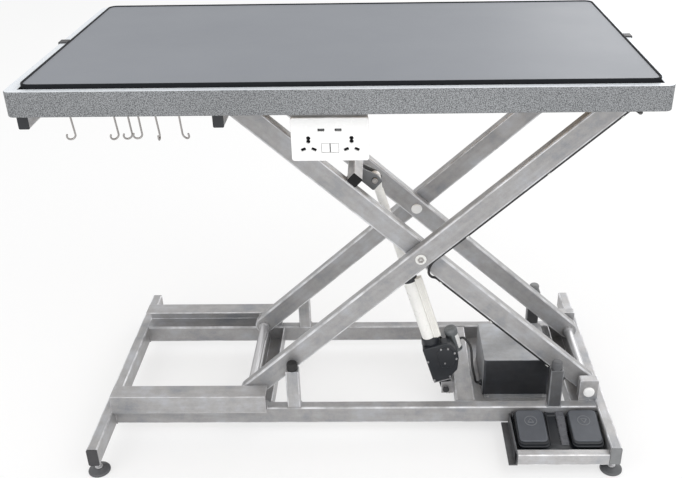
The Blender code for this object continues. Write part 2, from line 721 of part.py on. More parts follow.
def build_feet():
    """Four screw-in levelling feet, each on its own slide."""
    x = BASE_X1 - TUBE_W / 2
    y = BASE_W / 2 - FOOT_INSET
    profile = [(0, 0), (FOOT_R, 0), (FOOT_R, FOOT_DISC_H / 2), (FOOT_R * 0.8, FOOT_DISC_H),
               (STEM_R * 1.8, FOOT_NECK_H), (STEM_R, FOOT_NECK_H),
               (STEM_R, BASE_Z0 + STEM_IN), (0, BASE_Z0 + STEM_IN)]
    for name, sx, sy in (("front_left", -1, -1), ("front_right", 1, -1),
                         ("rear_left", -1, 1), ("rear_right", 1, 1)):
        body = axis_empty("foot_axis_" + name, (sx * x, sy * y, 0))
        part("foot_" + name, "steel_zinc",
             [moved(turned(profile), Matrix.Translation((sx * x, sy * y, 0)))], body)


def build_control_box():
    """The control box on its shelf, with its glands and circuit board."""
    top = BOX_Z0 + BOX_H
    shell = prism("z", BOX_Z0, top, rounded(BOX_X0, BOX_X1, BOX_Y0, BOX_Y1, BOX_R))
    skirt = box(BOX_X0 + BOX_R, BOX_X1 - BOX_R, BOX_Y0 - FLANGE, BOX_Y1 + FLANGE,
                BOX_Z0, BOX_Z0 + FLANGE_T)
    inside = prism("z", BOX_Z0 - BOX_WALL, top - BOX_WALL,
                   rounded(BOX_X0 + BOX_WALL, BOX_X1 - BOX_WALL, BOX_Y0 + BOX_WALL,
                           BOX_Y1 - BOX_WALL, BOX_R - BOX_WALL))
    gland = [(0, -WELD), (GLAND_R, -WELD), (GLAND_R, GLAND_L * 0.6), (GLAND_R * 0.8, GLAND_L),
             (0, GLAND_L)]
    glands = []
    for side, place in ((-1, MOTOR_GLAND), (1, CABLE_GLAND), (1, MAINS_GLAND)):
        turn = Matrix.Rotation(side * pi / 2, 4, "Y")
        glands.append(moved(turned(gland, 12), Matrix.Translation(place) @ turn))
    part("control_cover", "dark_sheet", [fused(cut(fused(shell, skirt), inside), *glands)])

    board_x0, board_x1 = BOX_X0 + BOARD_EDGE, BOX_X1 - BOARD_EDGE
    board_y0, board_y1 = BOX_Y0 + BOARD_EDGE, BOX_Y1 - BOARD_EDGE
    board_z = BOX_Z0 + BOARD_T
    middle = (board_x0 + board_x1) / 2
    board = box(board_x0, board_x1, board_y0, board_y1, BOX_Z0, board_z)
    transformer = box(middle + BOARD_EDGE, board_x1 - BOARD_EDGE, board_y0 + BOARD_EDGE,
                      board_y1 - BOARD_EDGE, board_z - WELD, board_z + BOX_H / 2)
    relays = box(board_x0 + BOARD_EDGE, middle - BOARD_EDGE, board_y0 + BOARD_EDGE,
                 board_y1 - BOARD_EDGE, board_z - WELD, board_z + BOX_H / 5)
    part("control_board", "board_green", [fused(board, transformer, relays)])


def pedal(centre_x):
    """A rocking pedal: a sloped plate with round corners and a hinge barrel at its rear."""
    x0, x1 = centre_x - PEDAL_W / 2, centre_x + PEDAL_W / 2
    plate = prism("z", PEDAL_TOP - PEDAL_T, PEDAL_TOP,
                  rounded(x0, x1, -PEDAL_LEN, PEDAL_BARREL_R, PEDAL_ROUND))
    turns = [pi + pi * i / 6 for i in range(7)]
    barrel_end = [(PEDAL_BARREL_R * cos(turn), PEDAL_BARREL_R * sin(turn)) for turn in turns]
    barrel = prism("x", x0 + PEDAL_ROUND, x1 - PEDAL_ROUND,
                   [(-PEDAL_BARREL_R, PEDAL_TOP - PEDAL_T + WELD), *barrel_end,
                    (PEDAL_BARREL_R, PEDAL_TOP - PEDAL_T + WELD)], circle(0, 0, PEDAL_PIN_R + GAP, 12))
    slope = Matrix.Rotation(radians(PEDAL_SLOPE), 4, "X")
    return moved(fused(plate, barrel), Matrix.Translation((0, HINGE_Y, HINGE_Z)) @ slope)


def build_foot_switch():
    """The tray at the front right corner and the double pedal in it."""
    rail_z1 = TRAY_Z + TRAY_TUBE_H
    front_y1 = TRAY_Y0 + TRAY_TUBE_W
    side_rail = hollow("y", TRAY_Y0, TRAY_Y1, SIDE_RAIL_X, SIDE_RAIL_X + TRAY_TUBE_W,
                       TRAY_Z, rail_z1, TUBE_WALL)
    front_rail = hollow("x", SIDE_RAIL_X + TRAY_TUBE_W - WELD, TRAY_X1, TRAY_Y0 + GAP, front_y1,
                        TRAY_Z + GAP, rail_z1 - GAP, TUBE_WALL)
    floor = box(SIDE_RAIL_X + TRAY_TUBE_W - WELD, TRAY_X1 - GAP, front_y1 - WELD, TRAY_Y1 - GAP,
                TRAY_Z + 2 * GAP, TRAY_Z + TRAY_T)
    part("pedal_tray", "silver_paint", [fused(side_rail, front_rail, floor)])

    slab = prism("z", SWITCH_Z0, SWITCH_Z1,
                 rounded(SWITCH_X0, SWITCH_X1, SWITCH_Y0, SWITCH_Y1, PEDAL_ROUND / 2))
    bridge_z1 = SWITCH_Z0 + BRIDGE_H
    foot_z = SWITCH_Z1 - WELD
    bridge = prism("x", SWITCH_X - BRIDGE_W / 2, SWITCH_X + BRIDGE_W / 2,
                   [(SWITCH_Y0 + BRIDGE_FRONT, foot_z), (SWITCH_Y1 - GAP, foot_z),
                    (SWITCH_Y1 - GAP, bridge_z1), (HINGE_Y - PEDAL_ROUND, bridge_z1)])
    lug_half = PEDAL_BARREL_R + TRAY_T
    lugs = [box(x, x + LUG_T, HINGE_Y - lug_half, HINGE_Y + lug_half, foot_z, HINGE_Z + lug_half)
            for x in (SWITCH_X0 + GAP, SWITCH_X1 - GAP - LUG_T)]
    pin = prism("x", SWITCH_X0 + LUG_T / 2, SWITCH_X1 - LUG_T / 2,
                circle(HINGE_Y, HINGE_Z, PEDAL_PIN_R, 12))
    offset = (SWITCH_X1 - SWITCH_X0) / 2 - LUG_T - 4 * GAP - PEDAL_W / 2
    keys = []
    for name, side in (("pedal_up", -1), ("pedal_down", 1)):
        centre = SWITCH_X + side * offset
        body = axis_empty(name + "_axis", (centre, HINGE_Y, HINGE_Z))
        part(name, "grey_plastic", [pedal(centre)], body)
        key_y = SWITCH_Y0 + KEY_IN
        keys.append(box(centre - KEY_W / 2, centre + KEY_W / 2, key_y, key_y + KEY_D,
                        foot_z, SWITCH_Z1 + KEY_H))
    part("pedal_base", "black_plastic", [fused(slab, bridge, *lugs, pin, *keys)])


def centre_bolt(side):
    """The bolt where the arms cross: head, spacer between the arms, and cap on the inner arm."""
    inner_face = INNER_Y - ARM_T / 2 - GAP
    gap_in = INNER_Y + ARM_T / 2 + GAP
    gap_out = OUTER_Y - ARM_T / 2 - GAP
    head = OUTER_Y + ARM_T / 2 + GAP
    cap = inner_face - PIVOT_CAP_H
    steps = [(0, cap), (PIVOT_CAP_R * 0.8, cap), (PIVOT_CAP_R, cap + PIVOT_CAP_H / 2),
             (PIVOT_CAP_R, inner_face), (BOLT_R, inner_face), (BOLT_R, gap_in), (SPACER_R, gap_in),
             (SPACER_R, gap_out), (BOLT_R, gap_out), (BOLT_R, head), (BOLT_HEAD_R, head),
             (BOLT_HEAD_R * 0.9, head + BOLT_HEAD_H), (0, head + BOLT_HEAD_H)]
    turn = Matrix.Rotation(pi if side < 0 else 0, 4, "X")
    return moved(turned(steps), Matrix.Translation((CENTRE_X, 0, CENTRE_Z)) @ ALONG_Y @ turn)


def build_scissor():
    """Both pairs of arms with their shafts, bolts and rollers."""
    inner = axis_empty("inner_arms_axis", (PIVOT_X, 0, AXIS_Z))
    outer = axis_empty("outer_arms_axis", (CENTRE_X, 0, CENTRE_Z))
    lower_axle = axis_empty("lower_rollers_axis", (ROLLER_X, 0, AXIS_Z))
    upper_axle = axis_empty("upper_rollers_axis", (ROLLER_X, 0, UPPER_Z))
    for name, side in (("front", -1), ("rear", 1)):
        part("inner_arm_" + name, "silver_paint", [arm(INNER_POSE, side * INNER_Y)], inner)
        part("outer_arm_" + name, "silver_paint", [arm(OUTER_POSE, side * OUTER_Y)], outer)
        part("centre_bolt_" + name, "steel_zinc", [centre_bolt(side)], inner)
        part("lower_roller_" + name, "nylon",
             [roller(ROLLER_X, AXIS_Z, side * LOWER_ROLLER_Y)], lower_axle)
        part("upper_roller_" + name, "nylon",
             [roller(ROLLER_X, UPPER_Z, side * UPPER_ROLLER_Y)], upper_axle)

    inner_face = INNER_Y - ARM_T / 2 - GAP
    outer_face = OUTER_Y - ARM_T / 2 - GAP
    part("lower_pivot_shaft", "steel_zinc",
         [shaft(PIVOT_X, AXIS_Z, LONG_IN - GAP, inner_face, PIVOT_CAP_H)], inner)
    part("upper_roller_axle", "steel_zinc",
         [shaft(ROLLER_X, UPPER_Z, UPPER_ROLLER_Y + ROLLER_W / 2, inner_face)], inner)
    part("lower_roller_axle", "steel_zinc",
         [shaft(ROLLER_X, AXIS_Z, LOWER_ROLLER_Y + ROLLER_W / 2, outer_face)], outer)
    part("upper_pivot_shaft", "steel_zinc",
         [shaft(PIVOT_X, UPPER_Z, OUTER_Y + ARM_T / 2 + GAP)], outer)
    build_clevis(inner)
    build_arm_cable(inner, outer)


def build_clevis(inner):
    """The square tube across the inner arms, with the plates and bolt ends for the rod's eye."""
    tip = INNER_Y + ARM_T / 2
    x = ARM_L / 2 - CROSS_U
    z0 = ARM_H / 2 + GAP
    pin_x = ARM_L / 2 - CLEVIS_U
    pin_z = ARM_H / 2 + CLEVIS_N
    bar = hollow("y", -tip, tip, x - CROSS_S / 2, x + CROSS_S / 2, z0, z0 + CROSS_S, TUBE_WALL)
    for side in (-1, 1):
        near = ACT_Y + side * (EYE_W / 2 + 4 * GAP)
        far = near + side * CLEVIS_T
        head = far + side * CLEVIS_HEAD_H
        plate = prism("y", near, far, rectangle(x + CROSS_S / 2 - WELD, pin_x + CLEVIS_END,
                                                z0 + GAP, z0 + CLEVIS_H))
        bolt = y_round(pin_x, pin_z, CLEVIS_HEAD_R, far - side * WELD, head)
        bar = fused(bar, plate, bolt)
    part("clevis_bar", "silver_paint", [moved(bar, INNER_POSE)], inner)


def build_actuator():
    """The linear actuator: gearbox, motor, outer tube, collar, screw and rod."""
    housing = axis_empty("actuator_axis", FOOT_PIN)
    rod_body = axis_empty("actuator_rod_axis", FOOT_PIN)
    shape = [(-BOX_LEFT, BOX_S0), (BOX_FOOT, BOX_S0), (BOX_FOOT + BOX_ROUND, BOX_NECK_S),
             (BOX_RIGHT - BOX_ROUND, BOX_SHOULDER_S - BOX_ROUND), (BOX_RIGHT, BOX_SHOULDER_S),
             (BOX_RIGHT, BOX_SIDE_S1 - BOX_ROUND), (BOX_RIGHT - BOX_ROUND, BOX_SIDE_S1),
             (BOX_STEP, BOX_SIDE_S1), (BOX_STEP, BOX_S1), (-BOX_LEFT, BOX_S1)]
    case = prism("y", -BOX_HALF_Y, BOX_HALF_Y, shape)
    lug_end = [(LUG_R * cos(pi + pi * i / 8), LUG_R * sin(pi + pi * i / 8)) for i in range(9)]
    lug = prism("y", -LUG_W / 2, LUG_W / 2,
                [(-LUG_R, BOX_S0 + BOX_ROUND), *lug_end, (LUG_R, BOX_S0 + BOX_ROUND)],
                circle(0, 0, FOOT_PIN_R + GAP))
    socket = turned([(0, BARREL_S0 - GAP), (BARREL_R + GAP, BARREL_S0 - GAP),
                     (BARREL_R + GAP, BOX_S1 + BOX_ROUND), (0, BOX_S1 + BOX_ROUND)])
    behind = box(BOX_STEP, BOX_RIGHT * 2, BOX_PART_Y, BOX_HALF_Y * 2, BOX_SHELF_S, BOX_S1 * 2)
    part("actuator_gearbox", "black_plastic",
         [moved(cut(fused(case, lug), socket, behind), ACT_POSE)], housing)

    rib_s0 = BOX_S1 + GAP
    barrel = ring(BARREL_BORE, BARREL_R, BARREL_S0, BARREL_S1, 28)
    rib = box(BARREL_R * 0.55, RIB_OUT, RIB_Y0, RIB_Y1, rib_s0, BARREL_S1 - COLLAR_H)
    bore = ring(0.0001, BARREL_BORE, rib_s0 - GAP, BARREL_S1, 28)
    collar = ring(ROD_R + GAP, ACT_COLLAR_R, BARREL_S1 - WELD, BARREL_S1 + COLLAR_H, 28)
    part("actuator_tube", "cream_paint",
         [moved(fused(barrel, cut(rib, bore), collar), ACT_POSE)], housing)
    motor_s0, motor_s1 = BOX_SHELF_S + GAP, BOX_SHELF_S + MOTOR_H
    motor = turned([(0, motor_s0), (MOTOR_R, motor_s0), (MOTOR_R, motor_s1 - MOTOR_H * 0.06),
                    (MOTOR_R * 0.85, motor_s1), (0, motor_s1)], 24)
    part("actuator_motor", "motor_steel",
         [moved(motor, ACT_POSE @ Matrix.Translation((MOTOR_X, MOTOR_Y, 0)))], housing)
    screw = turned([(0, BARREL_S0), (SCREW_R, BARREL_S0), (SCREW_R, SCREW_S1), (0, SCREW_S1)], 12)
    part("actuator_screw", "steel_zinc", [moved(screw, ACT_POSE)], housing)

    neck = ACT_LEN - EYE_R - ROD_HOLLOW
    rod = turned([(ROD_BORE, ROD_S0), (ROD_R, ROD_S0), (ROD_R, ACT_LEN - EYE_R), (0, ACT_LEN - EYE_R),
                  (0, neck), (ROD_BORE, neck), (ROD_BORE, ROD_S0)], 24)
    eye_end = [(EYE_R * cos(pi * i / 10), ACT_LEN + EYE_R * sin(pi * i / 10)) for i in range(11)]
    eye = prism("y", -EYE_W / 2, EYE_W / 2,
                [(ROD_R * 0.8, neck + EYE_R), *eye_end, (-ROD_R * 0.8, neck + EYE_R)],
                circle(0, ACT_LEN, CLEVIS_BOLT_R + GAP))
    part("actuator_rod", "cream_paint", [moved(fused(rod, eye), ACT_POSE)], rod_body)


def build_top():
    """The table top: sub-frame, surround, board, mat, hooks and socket."""
    top = axis_empty("top_axis", (PIVOT_X, 0, UPPER_Z))
    build_subframe(top)
    profile = [(0, FRAME_Z0), (0, FRAME_Z1), (FRAME_RIM, FRAME_Z1), (FRAME_RIM, FRAME_Z1 - FRAME_T),
               (FRAME_T, FRAME_Z1 - FRAME_T), (FRAME_T, FRAME_Z0 + FRAME_T),
               (FRAME_RIM, FRAME_Z0 + FRAME_T), (FRAME_RIM, FRAME_Z0)]

    def outline(inset):
        lip = LEFT_LIP if inset < FRAME_RIM / 2 else 0
        return rounded(TOP_X0 - lip + inset, TOP_X1 - inset, -TOP_W / 2 + inset, TOP_W / 2 - inset,
                       max(FRAME_R - inset, GAP))

    part("top_frame", "hammer_paint", [swept(profile, outline)], top)
    part("deck_board", "plywood",
         [prism("z", BOARD_Z0, BOARD_Z1, rounded(DECK_X0, DECK_X1, -DECK_Y, DECK_Y, MAT_R))], top)
    part("rubber_mat", "grey_rubber", [rubber_mat()], top)
    build_hooks(top)
    build_socket(top)


def build_subframe(top):
    """The frame under the top: long tubes with their roller rails, end pieces, bearers and hook bar."""
    left_end = STUB_LEFT_X + STUB_W / 2 + GAP
    right_end = TOP_X1 - END_BAR_T
    tube_z1 = UPPER_TUBE_Z1 - GAP
    sides = {}
    for side in (-1, 1):
        y0, y1 = sorted((side * LONG_IN, side * LONG_OUT))
        tube_end = right_end - GAP if side < 0 else right_end + WELD
        tube = hollow("x", left_end, tube_end, y0, y1, UPPER_TUBE_Z0, tube_z1, TUBE_WALL)
        rail = channel(side, UPPER_RAIL_IN, UPPER_RAIL_OUT, UPPER_Z - RAIL_H / 2,
                       left_end + GAP, RAIL_X1, WELD, 0)
        sides[side] = fused(tube, rail)
    stub = hollow("y", -STUB_END_Y, -LONG_OUT + WELD, STUB_RIGHT_X - STUB_W / 2,
                  STUB_RIGHT_X + STUB_W / 2, STUB_Z0, tube_z1 - GAP, TUBE_WALL)
    hook_bar = prism("x", left_end, STUB_RIGHT_X - STUB_W / 2 + WELD,
                     circle(HOOK_BAR_Y, HOOK_BAR_Z, HOOK_BAR_R, 12))
    part("upper_tube_front", "silver_paint", [fused(sides[-1], stub, hook_bar)], top)
    end_bar = box(right_end, TOP_X1, -LONG_OUT, LONG_OUT + GAP, UPPER_TUBE_Z0 - GAP,
                  tube_z1 + GAP / 2)
    part("upper_tube_rear", "silver_paint", [fused(sides[1], end_bar)], top)

    bearer_y = TOP_W / 2 - FRAME_RIM - GAP
    bearer_z0 = UPPER_TUBE_Z1
    bearer_z1 = FRAME_Z0 + GAP + BEARER_S
    bearers = {}
    places = (("left", DECK_X0 + BEARER_S / 2), ("middle", BEARER_MID_X), ("right", PIVOT_X))
    for name, x in places:
        bearers[name] = hollow("y", -bearer_y, bearer_y, x - BEARER_S / 2, x + BEARER_S / 2,
                               bearer_z0, bearer_z1, TUBE_WALL)
    cross = hollow("y", -STUB_END_Y, STUB_END_Y, STUB_LEFT_X - STUB_W / 2,
                   STUB_LEFT_X + STUB_W / 2, STUB_Z0, bearer_z0 + WELD, TUBE_WALL)
    part("upper_cross_tube", "silver_paint", [fused(bearers["left"], cross)], top)
    part("deck_bearer", "silver_paint", [bearers["middle"]], top)
    block_out = OUTER_Y - ARM_T / 2 - 8 * GAP
    blocks = [prism("y", side * (block_out - UPPER_BLOCK_T), side * block_out,
                    rectangle(PIVOT_X - BLOCK_W / 2, PIVOT_X + BLOCK_W / 2,
                              UPPER_Z - UPPER_BLOCK_DROP, bearer_z0 + WELD),
                    circle(PIVOT_X, UPPER_Z, SHAFT_R + GAP)) for side in (-1, 1)]
    part("pivot_bearer", "silver_paint", [fused(bearers["right"], *blocks)], top)


def rubber_mat():
    """The mat: a slab with round corners and a chamfered upper edge."""
    top_z = BOARD_Z1 + GAP + MAT_H
    bm = bmesh.new()
    levels = [(0, BOARD_Z1 + GAP), (0, top_z - MAT_BEVEL), (MAT_BEVEL, top_z)]
    loops = [[bm.verts.new((a, b, z)) for a, b in
              rounded(DECK_X0 + inset, DECK_X1 - inset, -DECK_Y + inset, DECK_Y - inset, MAT_R - inset)]
             for inset, z in levels]
    for lower, upper in zip(loops, loops[1:]):
        for i in range(len(lower)):
            bm.faces.new((lower[i - 1], lower[i], upper[i], upper[i - 1]))
    bm.faces.new(loops[0])
    bm.faces.new(loops[-1])
    bmesh.ops.recalc_face_normals(bm, faces=bm.faces[:])
    return bm


def hung(points):
    """A wire's points, turned about the bar so that its weight hangs straight below it."""
    runs = [(end - start).length for start, end in zip(points, points[1:])]
    weight = sum(((start + end) / 2 * run for start, end, run in zip(points, points[1:], runs)),
                 Vector((0, 0, 0)))
    lean = Matrix.Rotation(-pi / 2 - atan2(weight.z, weight.y), 3, "X")
    return [lean @ point for point in points]


def build_hooks(top):
    """The wire hooks that hang on the bar, each free to swing on it."""
    crown = [Vector((0, HOOK_TOP_R * cos(radians(a)), HOOK_TOP_R * sin(radians(a))))
             for a in range(-30, 181, 30)]
    stem_end = Vector((0, -HOOK_TOP_R, -HOOK_STEM))
    bend = [Vector((0, HOOK_FOOT_R * (cos(radians(a)) - 1), -HOOK_FOOT_R * sin(radians(a))))
            for a in range(0, 211, 30)]
    for number, (along, yaw) in enumerate(zip(HOOK_AT, HOOK_YAWS), 1):
        body = axis_empty("hook_%d_axis" % number, (STUB_LEFT_X + along, HOOK_BAR_Y, HOOK_BAR_Z))
        turn = Matrix.Rotation(radians(yaw), 3, "Z")
        wire = hung(crown + [stem_end + turn @ point for point in bend])
        cord("hook_%d" % number, "steel_zinc", [body.location + point for point in wire],
             HOOK_WIRE_R, body, 1)


def build_socket(top):
    """A double wall socket in its box, with two rocker switches."""
    x0, x1 = SOCKET_X - SOCKET_W / 2, SOCKET_X + SOCKET_W / 2
    back = SOCKET_FACE_Y + SOCKET_T
    box_x0, box_x1 = x0 + SOCKET_BOX_IN, x1 - SOCKET_BOX_IN
    box_y0 = back + GAP
    box_z0 = SOCKET_Z0 + SOCKET_BOX_IN
    case = box(box_x0, box_x1, box_y0, box_y0 + SOCKET_BOX_D, box_z0, UPPER_TUBE_Z1 - GAP)
    inside = box(box_x0 + SOCKET_BOX_WALL, box_x1 - SOCKET_BOX_WALL, box_y0 - GAP,
                 box_y0 + SOCKET_BOX_D - SOCKET_BOX_WALL, box_z0 + SOCKET_BOX_WALL,
                 SOCKET_Z1 - SOCKET_BOX_IN)
    part("socket_box", "grey_plastic", [cut(case, inside)], top)

    plate = prism("y", SOCKET_FACE_Y, back, rounded(x0, x1, SOCKET_Z0, SOCKET_Z1, SOCKET_R))
    cutters = []
    for side in (-1, 1):
        outlet = SOCKET_X + side * OUTLET_X
        low = SOCKET_Z0 + OUTLET_Z
        for centre, z in ((outlet - SLOT_STEP, low), (outlet + SLOT_STEP, low),
                          (outlet - SLOT_STEP / 4, low + EARTH_UP)):
            cutters.append(box(centre - SLOT_W / 2, centre + SLOT_W / 2, SOCKET_FACE_Y - SLOT_DEPTH,
                               SOCKET_FACE_Y + SLOT_DEPTH, z - SLOT_H / 2, z + SLOT_H / 2))
        usb = SOCKET_X + side * USB_X
        usb_z = SOCKET_Z0 + USB_Z
        cutters.append(box(usb - USB_W / 2, usb + USB_W / 2, SOCKET_FACE_Y - SLOT_DEPTH,
                           SOCKET_FACE_Y + SLOT_DEPTH, usb_z - USB_H / 2, usb_z + USB_H / 2))
    rocker_z = SOCKET_Z0 + ROCKER_Z
    well = ROCKER_STEP / 2 + ROCKER_W / 2 + GAP
    cutters.append(box(SOCKET_X - well, SOCKET_X + well, SOCKET_FACE_Y - SOCKET_T, back + SOCKET_T,
                       rocker_z - ROCKER_H / 2 - 2 * GAP, rocker_z + ROCKER_H / 2 + 2 * GAP))
    part("socket_plate", "white_plastic", [cut(plate, *cutters)], top)
    for name, side in (("socket_switch_left", -1), ("socket_switch_right", 1)):
        x = SOCKET_X + side * ROCKER_STEP / 2
        hinge = Vector((x, SOCKET_FACE_Y + ROCKER_D / 2, rocker_z))
        body = axis_empty(name + "_axis", hinge)
        half = ROCKER_H / 2 - 4 * GAP
        key = prism("x", -ROCKER_W / 2 + GAP, ROCKER_W / 2 - GAP,
                    [(-ROCKER_OUT, -half), (-ROCKER_OUT / 2, 0), (-ROCKER_OUT, half),
                     (ROCKER_D, half), (ROCKER_D, -half)])
        tilt = Matrix.Rotation(radians(ROCKER_TILT), 4, "X")
        part(name, "white_plastic", [moved(key, Matrix.Translation(hinge) @ tilt)], body)


def under_arm(pose, y, u):
    """A point on the cable's line under an arm's lower edge."""
    return pose @ Vector((u, y, -ARM_H / 2 - GAP - CABLE_R))


def build_arm_cable(inner, outer):
    """The cable that is clipped under the front arms."""
    spacing = CORD_STEP
    start = under_arm(OUTER_POSE, OUTER_CABLE_Y, CABLE_START_U)
    end = under_arm(OUTER_POSE, OUTER_CABLE_Y, CABLE_TOP_U)
    cord("cable_outer_arm", "cable_black", smooth_route([start, end], spacing), CABLE_R, outer)
    first = under_arm(INNER_POSE, INNER_CABLE_Y, CABLE_LOOP_U)
    last = under_arm(INNER_POSE, INNER_CABLE_Y, CABLE_LOW_U)
    along_outer = (start - end).normalized()
    along_inner = (last - first).normalized()
    loop = [Vector((CENTRE_X + x, OUTER_CABLE_Y + y * CABLE_R, CENTRE_Z + z)) for x, y, z in LOOP_AT]
    route = [start + along_outer * GAP, start + along_outer * 5 * CABLE_R, *loop,
             first - along_inner * 3 * CABLE_R, first]
    run = smooth_route(route, spacing)[:-1] + smooth_route([first, last], spacing)
    cord("cable_inner_arm", "cable_black", run, CABLE_R, inner)


def build_free_leads():
    """The leads between the arms, the top and the control box."""
    top = bpy.data.objects["top_axis"]
    spacing = CORD_STEP
    last = under_arm(INNER_POSE, INNER_CABLE_Y, CABLE_LOW_U)
    along = (last - under_arm(INNER_POSE, INNER_CABLE_Y, CABLE_LOOP_U)).normalized()
    gland_tip = CABLE_GLAND + Vector((GLAND_L + GAP, 0, 0))
    side_step = Vector((0, INNER_CABLE_Y + 6 * CABLE_R - gland_tip.y, 0))
    route = [last + along * GAP, last + along * 4 * CABLE_R,
             gland_tip + Vector((8.3, 0, 7)) * CABLE_R + side_step,
             gland_tip + Vector((5.5, -4.5, 0.3)) * CABLE_R, gland_tip + Vector((2, 0, 0)) * CABLE_R,
             gland_tip]
    cord("cable_to_control", "cable_black", smooth_route(route, spacing / 2), CABLE_R)

    end = under_arm(OUTER_POSE, OUTER_CABLE_Y, CABLE_TOP_U)
    along = (end - under_arm(OUTER_POSE, OUTER_CABLE_Y, CABLE_START_U)).normalized()
    beside = -LONG_OUT - GAP - CABLE_R
    run_z = UPPER_TUBE_Z0 + TUBE_H * 0.7
    box_side = SOCKET_X + SOCKET_W / 2 - SOCKET_BOX_IN + GAP
    turn_down = Vector((end.x, beside, UPPER_TUBE_Z0))
    run_start = Vector((end.x, beside, run_z))
    run_end = Vector((box_side, beside, run_z))
    entry = Vector((box_side, SOCKET_LEAD_Y, run_z))
    route = [end + along * GAP, end + along * 2 * CABLE_R,
             turn_down + Vector((4.3, 10, -3.4)) * CABLE_R, turn_down + Vector((5.3, 5, -3.4)) * CABLE_R,
             turn_down + Vector((4.3, 0, -0.5)) * CABLE_R, run_start + Vector((-2, -0.4, -2.5)) * CABLE_R,
             run_start + Vector((-12, -0.2, 0)) * CABLE_R, run_start - Vector((30, 0, 0)) * CABLE_R,
             run_start - Vector((50, 0, 0)) * CABLE_R, run_end + Vector((47, 0, 0)) * CABLE_R,
             run_end + Vector((33, 0, 0)) * CABLE_R, run_end + Vector((23, -0.4, 0)) * CABLE_R,
             entry + Vector((10, 5.7, 0)) * CABLE_R, entry + Vector((3, 0, 0)) * CABLE_R,
             entry + Vector((GAP, 0, 0))]
    cord("cable_under_top", "cable_black", smooth_route(route, spacing), CABLE_R, top)

    out = ACT_POSE @ Vector((MOTOR_X + MOTOR_R + GAP, MOTOR_Y, MOTOR_LEAD_S))
    away = ACT_POSE.to_3x3() @ Vector((1, 0, 0))
    gland_tip = MOTOR_GLAND - Vector((GLAND_L + GAP, 0, 0))
    tie_edge = Vector((TIE_MID_X + TIE_W / 2, MOTOR_GLAND_Y, gland_tip.z))
    route = [out, out + away * 2 * CABLE_R,
             out + away * 5.3 * CABLE_R + Vector((1.3, -2, -4)) * CABLE_R,
             tie_edge + Vector((0.3, 2, 15)) * CABLE_R, tie_edge + Vector((2, 0.3, 7.3)) * CABLE_R,
             gland_tip - Vector((CABLE_R, 0, 0)), gland_tip]
    cord("motor_lead", "cable_black", smooth_route(route, spacing / 2), CABLE_R)


def main():
    """Clears the scene and builds every sub-part."""
    for item in list(bpy.data.objects):
        bpy.data.objects.remove(item)
    build_base()
    build_feet()
    build_control_box()
    build_foot_switch()
    build_scissor()
    build_actuator()
    build_top()
    build_free_leads()


main()
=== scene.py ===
"""Looks of a pet grooming table on an electric scissor lift.

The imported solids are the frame. Each piece here is the finished form of one of them, or a small
fitting that sits on one: painted tube, rubber, caps, welds, screws, clips and leads.
Metres, +Z up, X along the table and Y from front to back, as in the frame.
"""
from math import acos, asin, atan2, cos, hypot, pi, radians, sin, tan

import bmesh
import bpy
from mathutils import Matrix, Vector


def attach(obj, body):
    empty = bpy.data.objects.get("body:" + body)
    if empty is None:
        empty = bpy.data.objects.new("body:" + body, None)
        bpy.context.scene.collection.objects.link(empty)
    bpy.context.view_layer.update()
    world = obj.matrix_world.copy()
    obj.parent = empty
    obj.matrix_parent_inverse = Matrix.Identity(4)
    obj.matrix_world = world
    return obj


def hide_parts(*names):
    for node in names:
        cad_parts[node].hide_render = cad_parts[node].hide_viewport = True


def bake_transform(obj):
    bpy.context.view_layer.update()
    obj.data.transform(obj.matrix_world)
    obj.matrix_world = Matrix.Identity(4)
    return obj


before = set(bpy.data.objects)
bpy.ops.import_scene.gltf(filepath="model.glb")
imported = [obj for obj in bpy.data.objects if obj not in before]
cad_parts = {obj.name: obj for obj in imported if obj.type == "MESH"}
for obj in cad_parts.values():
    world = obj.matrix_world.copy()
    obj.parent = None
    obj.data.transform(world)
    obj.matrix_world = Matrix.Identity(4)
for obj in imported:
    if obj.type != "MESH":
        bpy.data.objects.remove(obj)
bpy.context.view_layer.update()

# Sizes in metres, most of them as in the frame
GAP = 0.0003

# Base
BASE_X1 = 0.600
BASE_Y1 = 0.330
BASE_Z0 = 0.036
BASE_Z1 = 0.082
TUBE_W = 0.025
TUBE_CORNER = 0.0035
LONG_Y = 0.172
LONG_IN = LONG_Y - TUBE_W / 2
LONG_OUT = LONG_Y + TUBE_W / 2
LONG_X = BASE_X1 - TUBE_W - GAP
TIE_W = 0.045
TIE_Z0 = 0.042
TIE_Y = LONG_IN - GAP
TIE_LEFT_X = -0.2225
TIE_MID_X = 0.2663
TIE_RIGHT_X = 0.5372
RAIL_T = 0.003
RAIL_H = 0.048
LOWER_RAIL_W = 0.044
UPPER_RAIL_W = 0.0312
RAIL_X1 = -0.208
POST_XS = (-0.144, 0.473)
POST_W = 0.031
POST_Z1 = 0.186
PAD_R = 0.0125
PAD_H = 0.020

# Scissor
LIFT = radians(41.9)
ARM_L = 1.086
ARM_H = 0.048
ARM_T = 0.025
OUTER_Y = 0.1425
INNER_Y = 0.1120
PIVOT_X = 0.5575
AXIS_Z = 0.106
SHAFT_R = 0.0105
COLLAR_R = 0.0135
COLLAR_W = 0.007
BOLT_R = 0.008
ROLLER_R = 0.0205
ROLLER_HALF_W = 0.011
BLOCK_HALF_W = 0.0225
UPPER_Z = AXIS_Z + ARM_L * sin(LIFT)
ROLLER_X = PIVOT_X - ARM_L * cos(LIFT)
CENTRE = Vector((PIVOT_X - ARM_L * cos(LIFT) / 2, 0, AXIS_Z + ARM_L * sin(LIFT) / 2))
OUTER_POSE = Matrix.Translation(CENTRE) @ Matrix.Rotation(-LIFT, 4, "Y")
INNER_POSE = Matrix.Translation(CENTRE) @ Matrix.Rotation(LIFT, 4, "Y")
ALONG_Y = Matrix.Rotation(-pi / 2, 4, "X")

